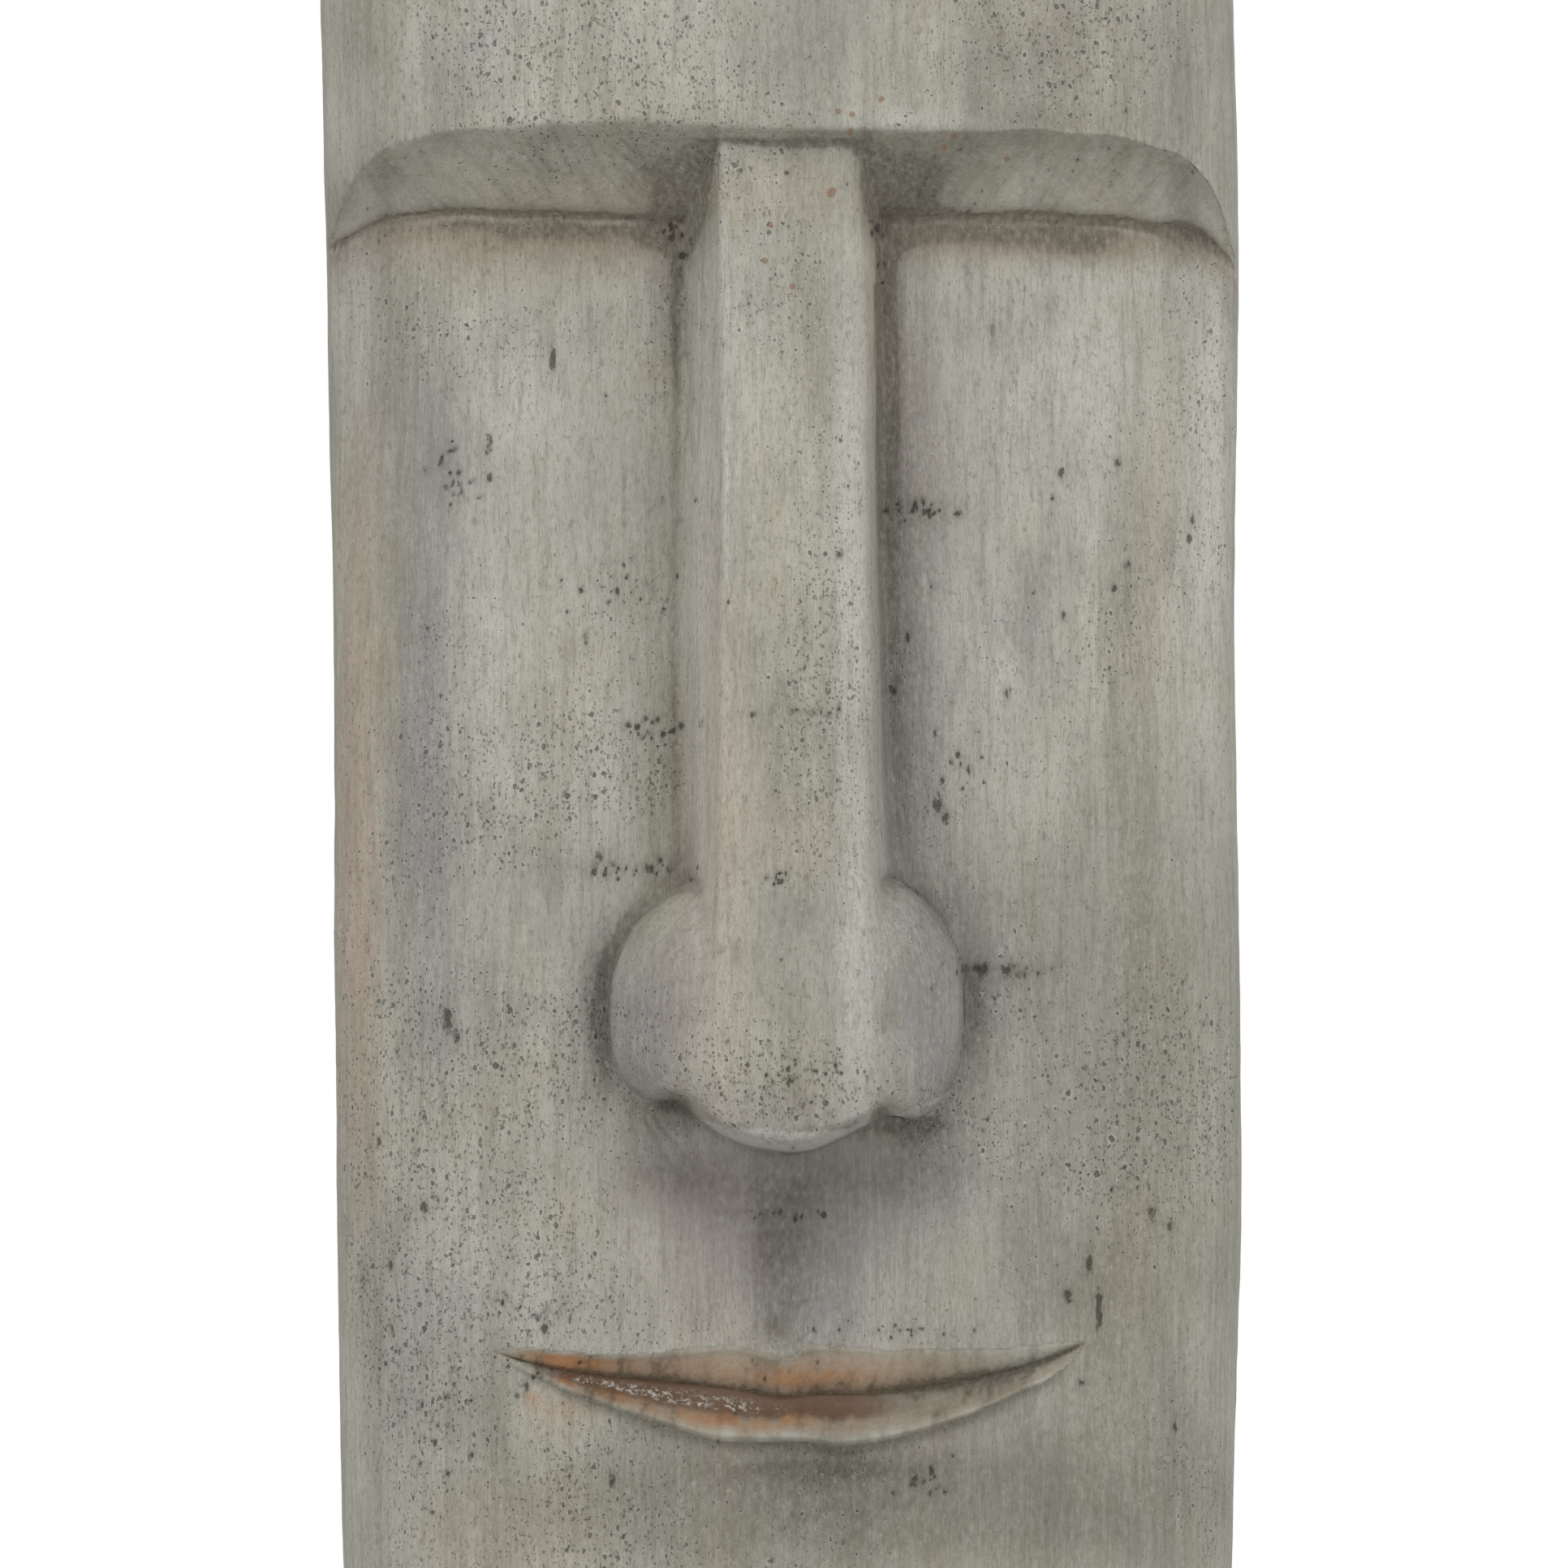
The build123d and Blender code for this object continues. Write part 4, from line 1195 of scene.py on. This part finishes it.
def floor():
    """Pale floor that glows more and more outwards, so that it melts into the white around it."""
    bpy.ops.mesh.primitive_circle_add(vertices=128, radius=FLOOR_RADIUS, fill_type="NGON")
    disc = bpy.context.object
    disc.name = "studio_floor"
    g = Graph("studio_floor")
    g.colour = g.mix(g.noise((6, 6, 6)), linear(160, 160, 159), linear(164, 164, 163))
    away = g.out("VectorMath", {0: g.place}, "Value", operation="LENGTH")
    glow = {"Emission Color": (1, 1, 0.99, 1),
            "Emission Strength": g.span(away, *GLOW_REACH, *GLOW)}
    disc.data.materials.append(g.finish(0.8, 0.0, 0.1, glow))


def surroundings():
    """White all round as the camera sees it, dimmer as it lights the head."""
    world = bpy.data.worlds.new("studio")
    world.use_nodes = True
    nodes, links = world.node_tree.nodes, world.node_tree.links
    back = nodes["Background"]
    back.inputs["Color"].default_value = (1, 1, 1, 1)
    path = nodes.new("ShaderNodeLightPath")
    strength = nodes.new("ShaderNodeMapRange")
    strength.inputs["To Min"].default_value = WORLD_LIGHT
    strength.inputs["To Max"].default_value = 1.0
    links.new(path.outputs["Is Camera Ray"], strength.inputs["Value"])
    links.new(strength.outputs["Result"], back.inputs["Strength"])
    bpy.context.scene.world = world


def lamps():
    """Large soft lamps, mostly from the front."""
    for name, place, size, power in LAMPS:
        lamp = bpy.data.lights.new(name, "AREA")
        lamp.size = size
        lamp.energy = power
        holder = bpy.data.objects.new(name, lamp)
        holder.location = place
        towards = LIT_PLACE - Vector(place)
        holder.rotation_euler = towards.to_track_quat("-Z", "Y").to_euler()
        bpy.context.scene.collection.objects.link(holder)


def camera():
    """Level view straight onto the face, framed as closely as the photograph."""
    lens = bpy.data.cameras.new("camera")
    lens.sensor_width = SENSOR
    lens.lens = SENSOR * CAMERA_DISTANCE / VIEW_SPAN
    lens.clip_end = 20
    holder = bpy.data.objects.new("camera", lens)
    holder.location = (0.0005, SPAN_Y - CAMERA_DISTANCE, VIEW_HEIGHT)
    holder.rotation_euler = (math.pi / 2, 0, 0)
    bpy.context.scene.collection.objects.link(holder)
    bpy.context.scene.camera = holder


floor()
surroundings()
lamps()
camera()
bpy.context.scene.view_settings.view_transform = "Standard"
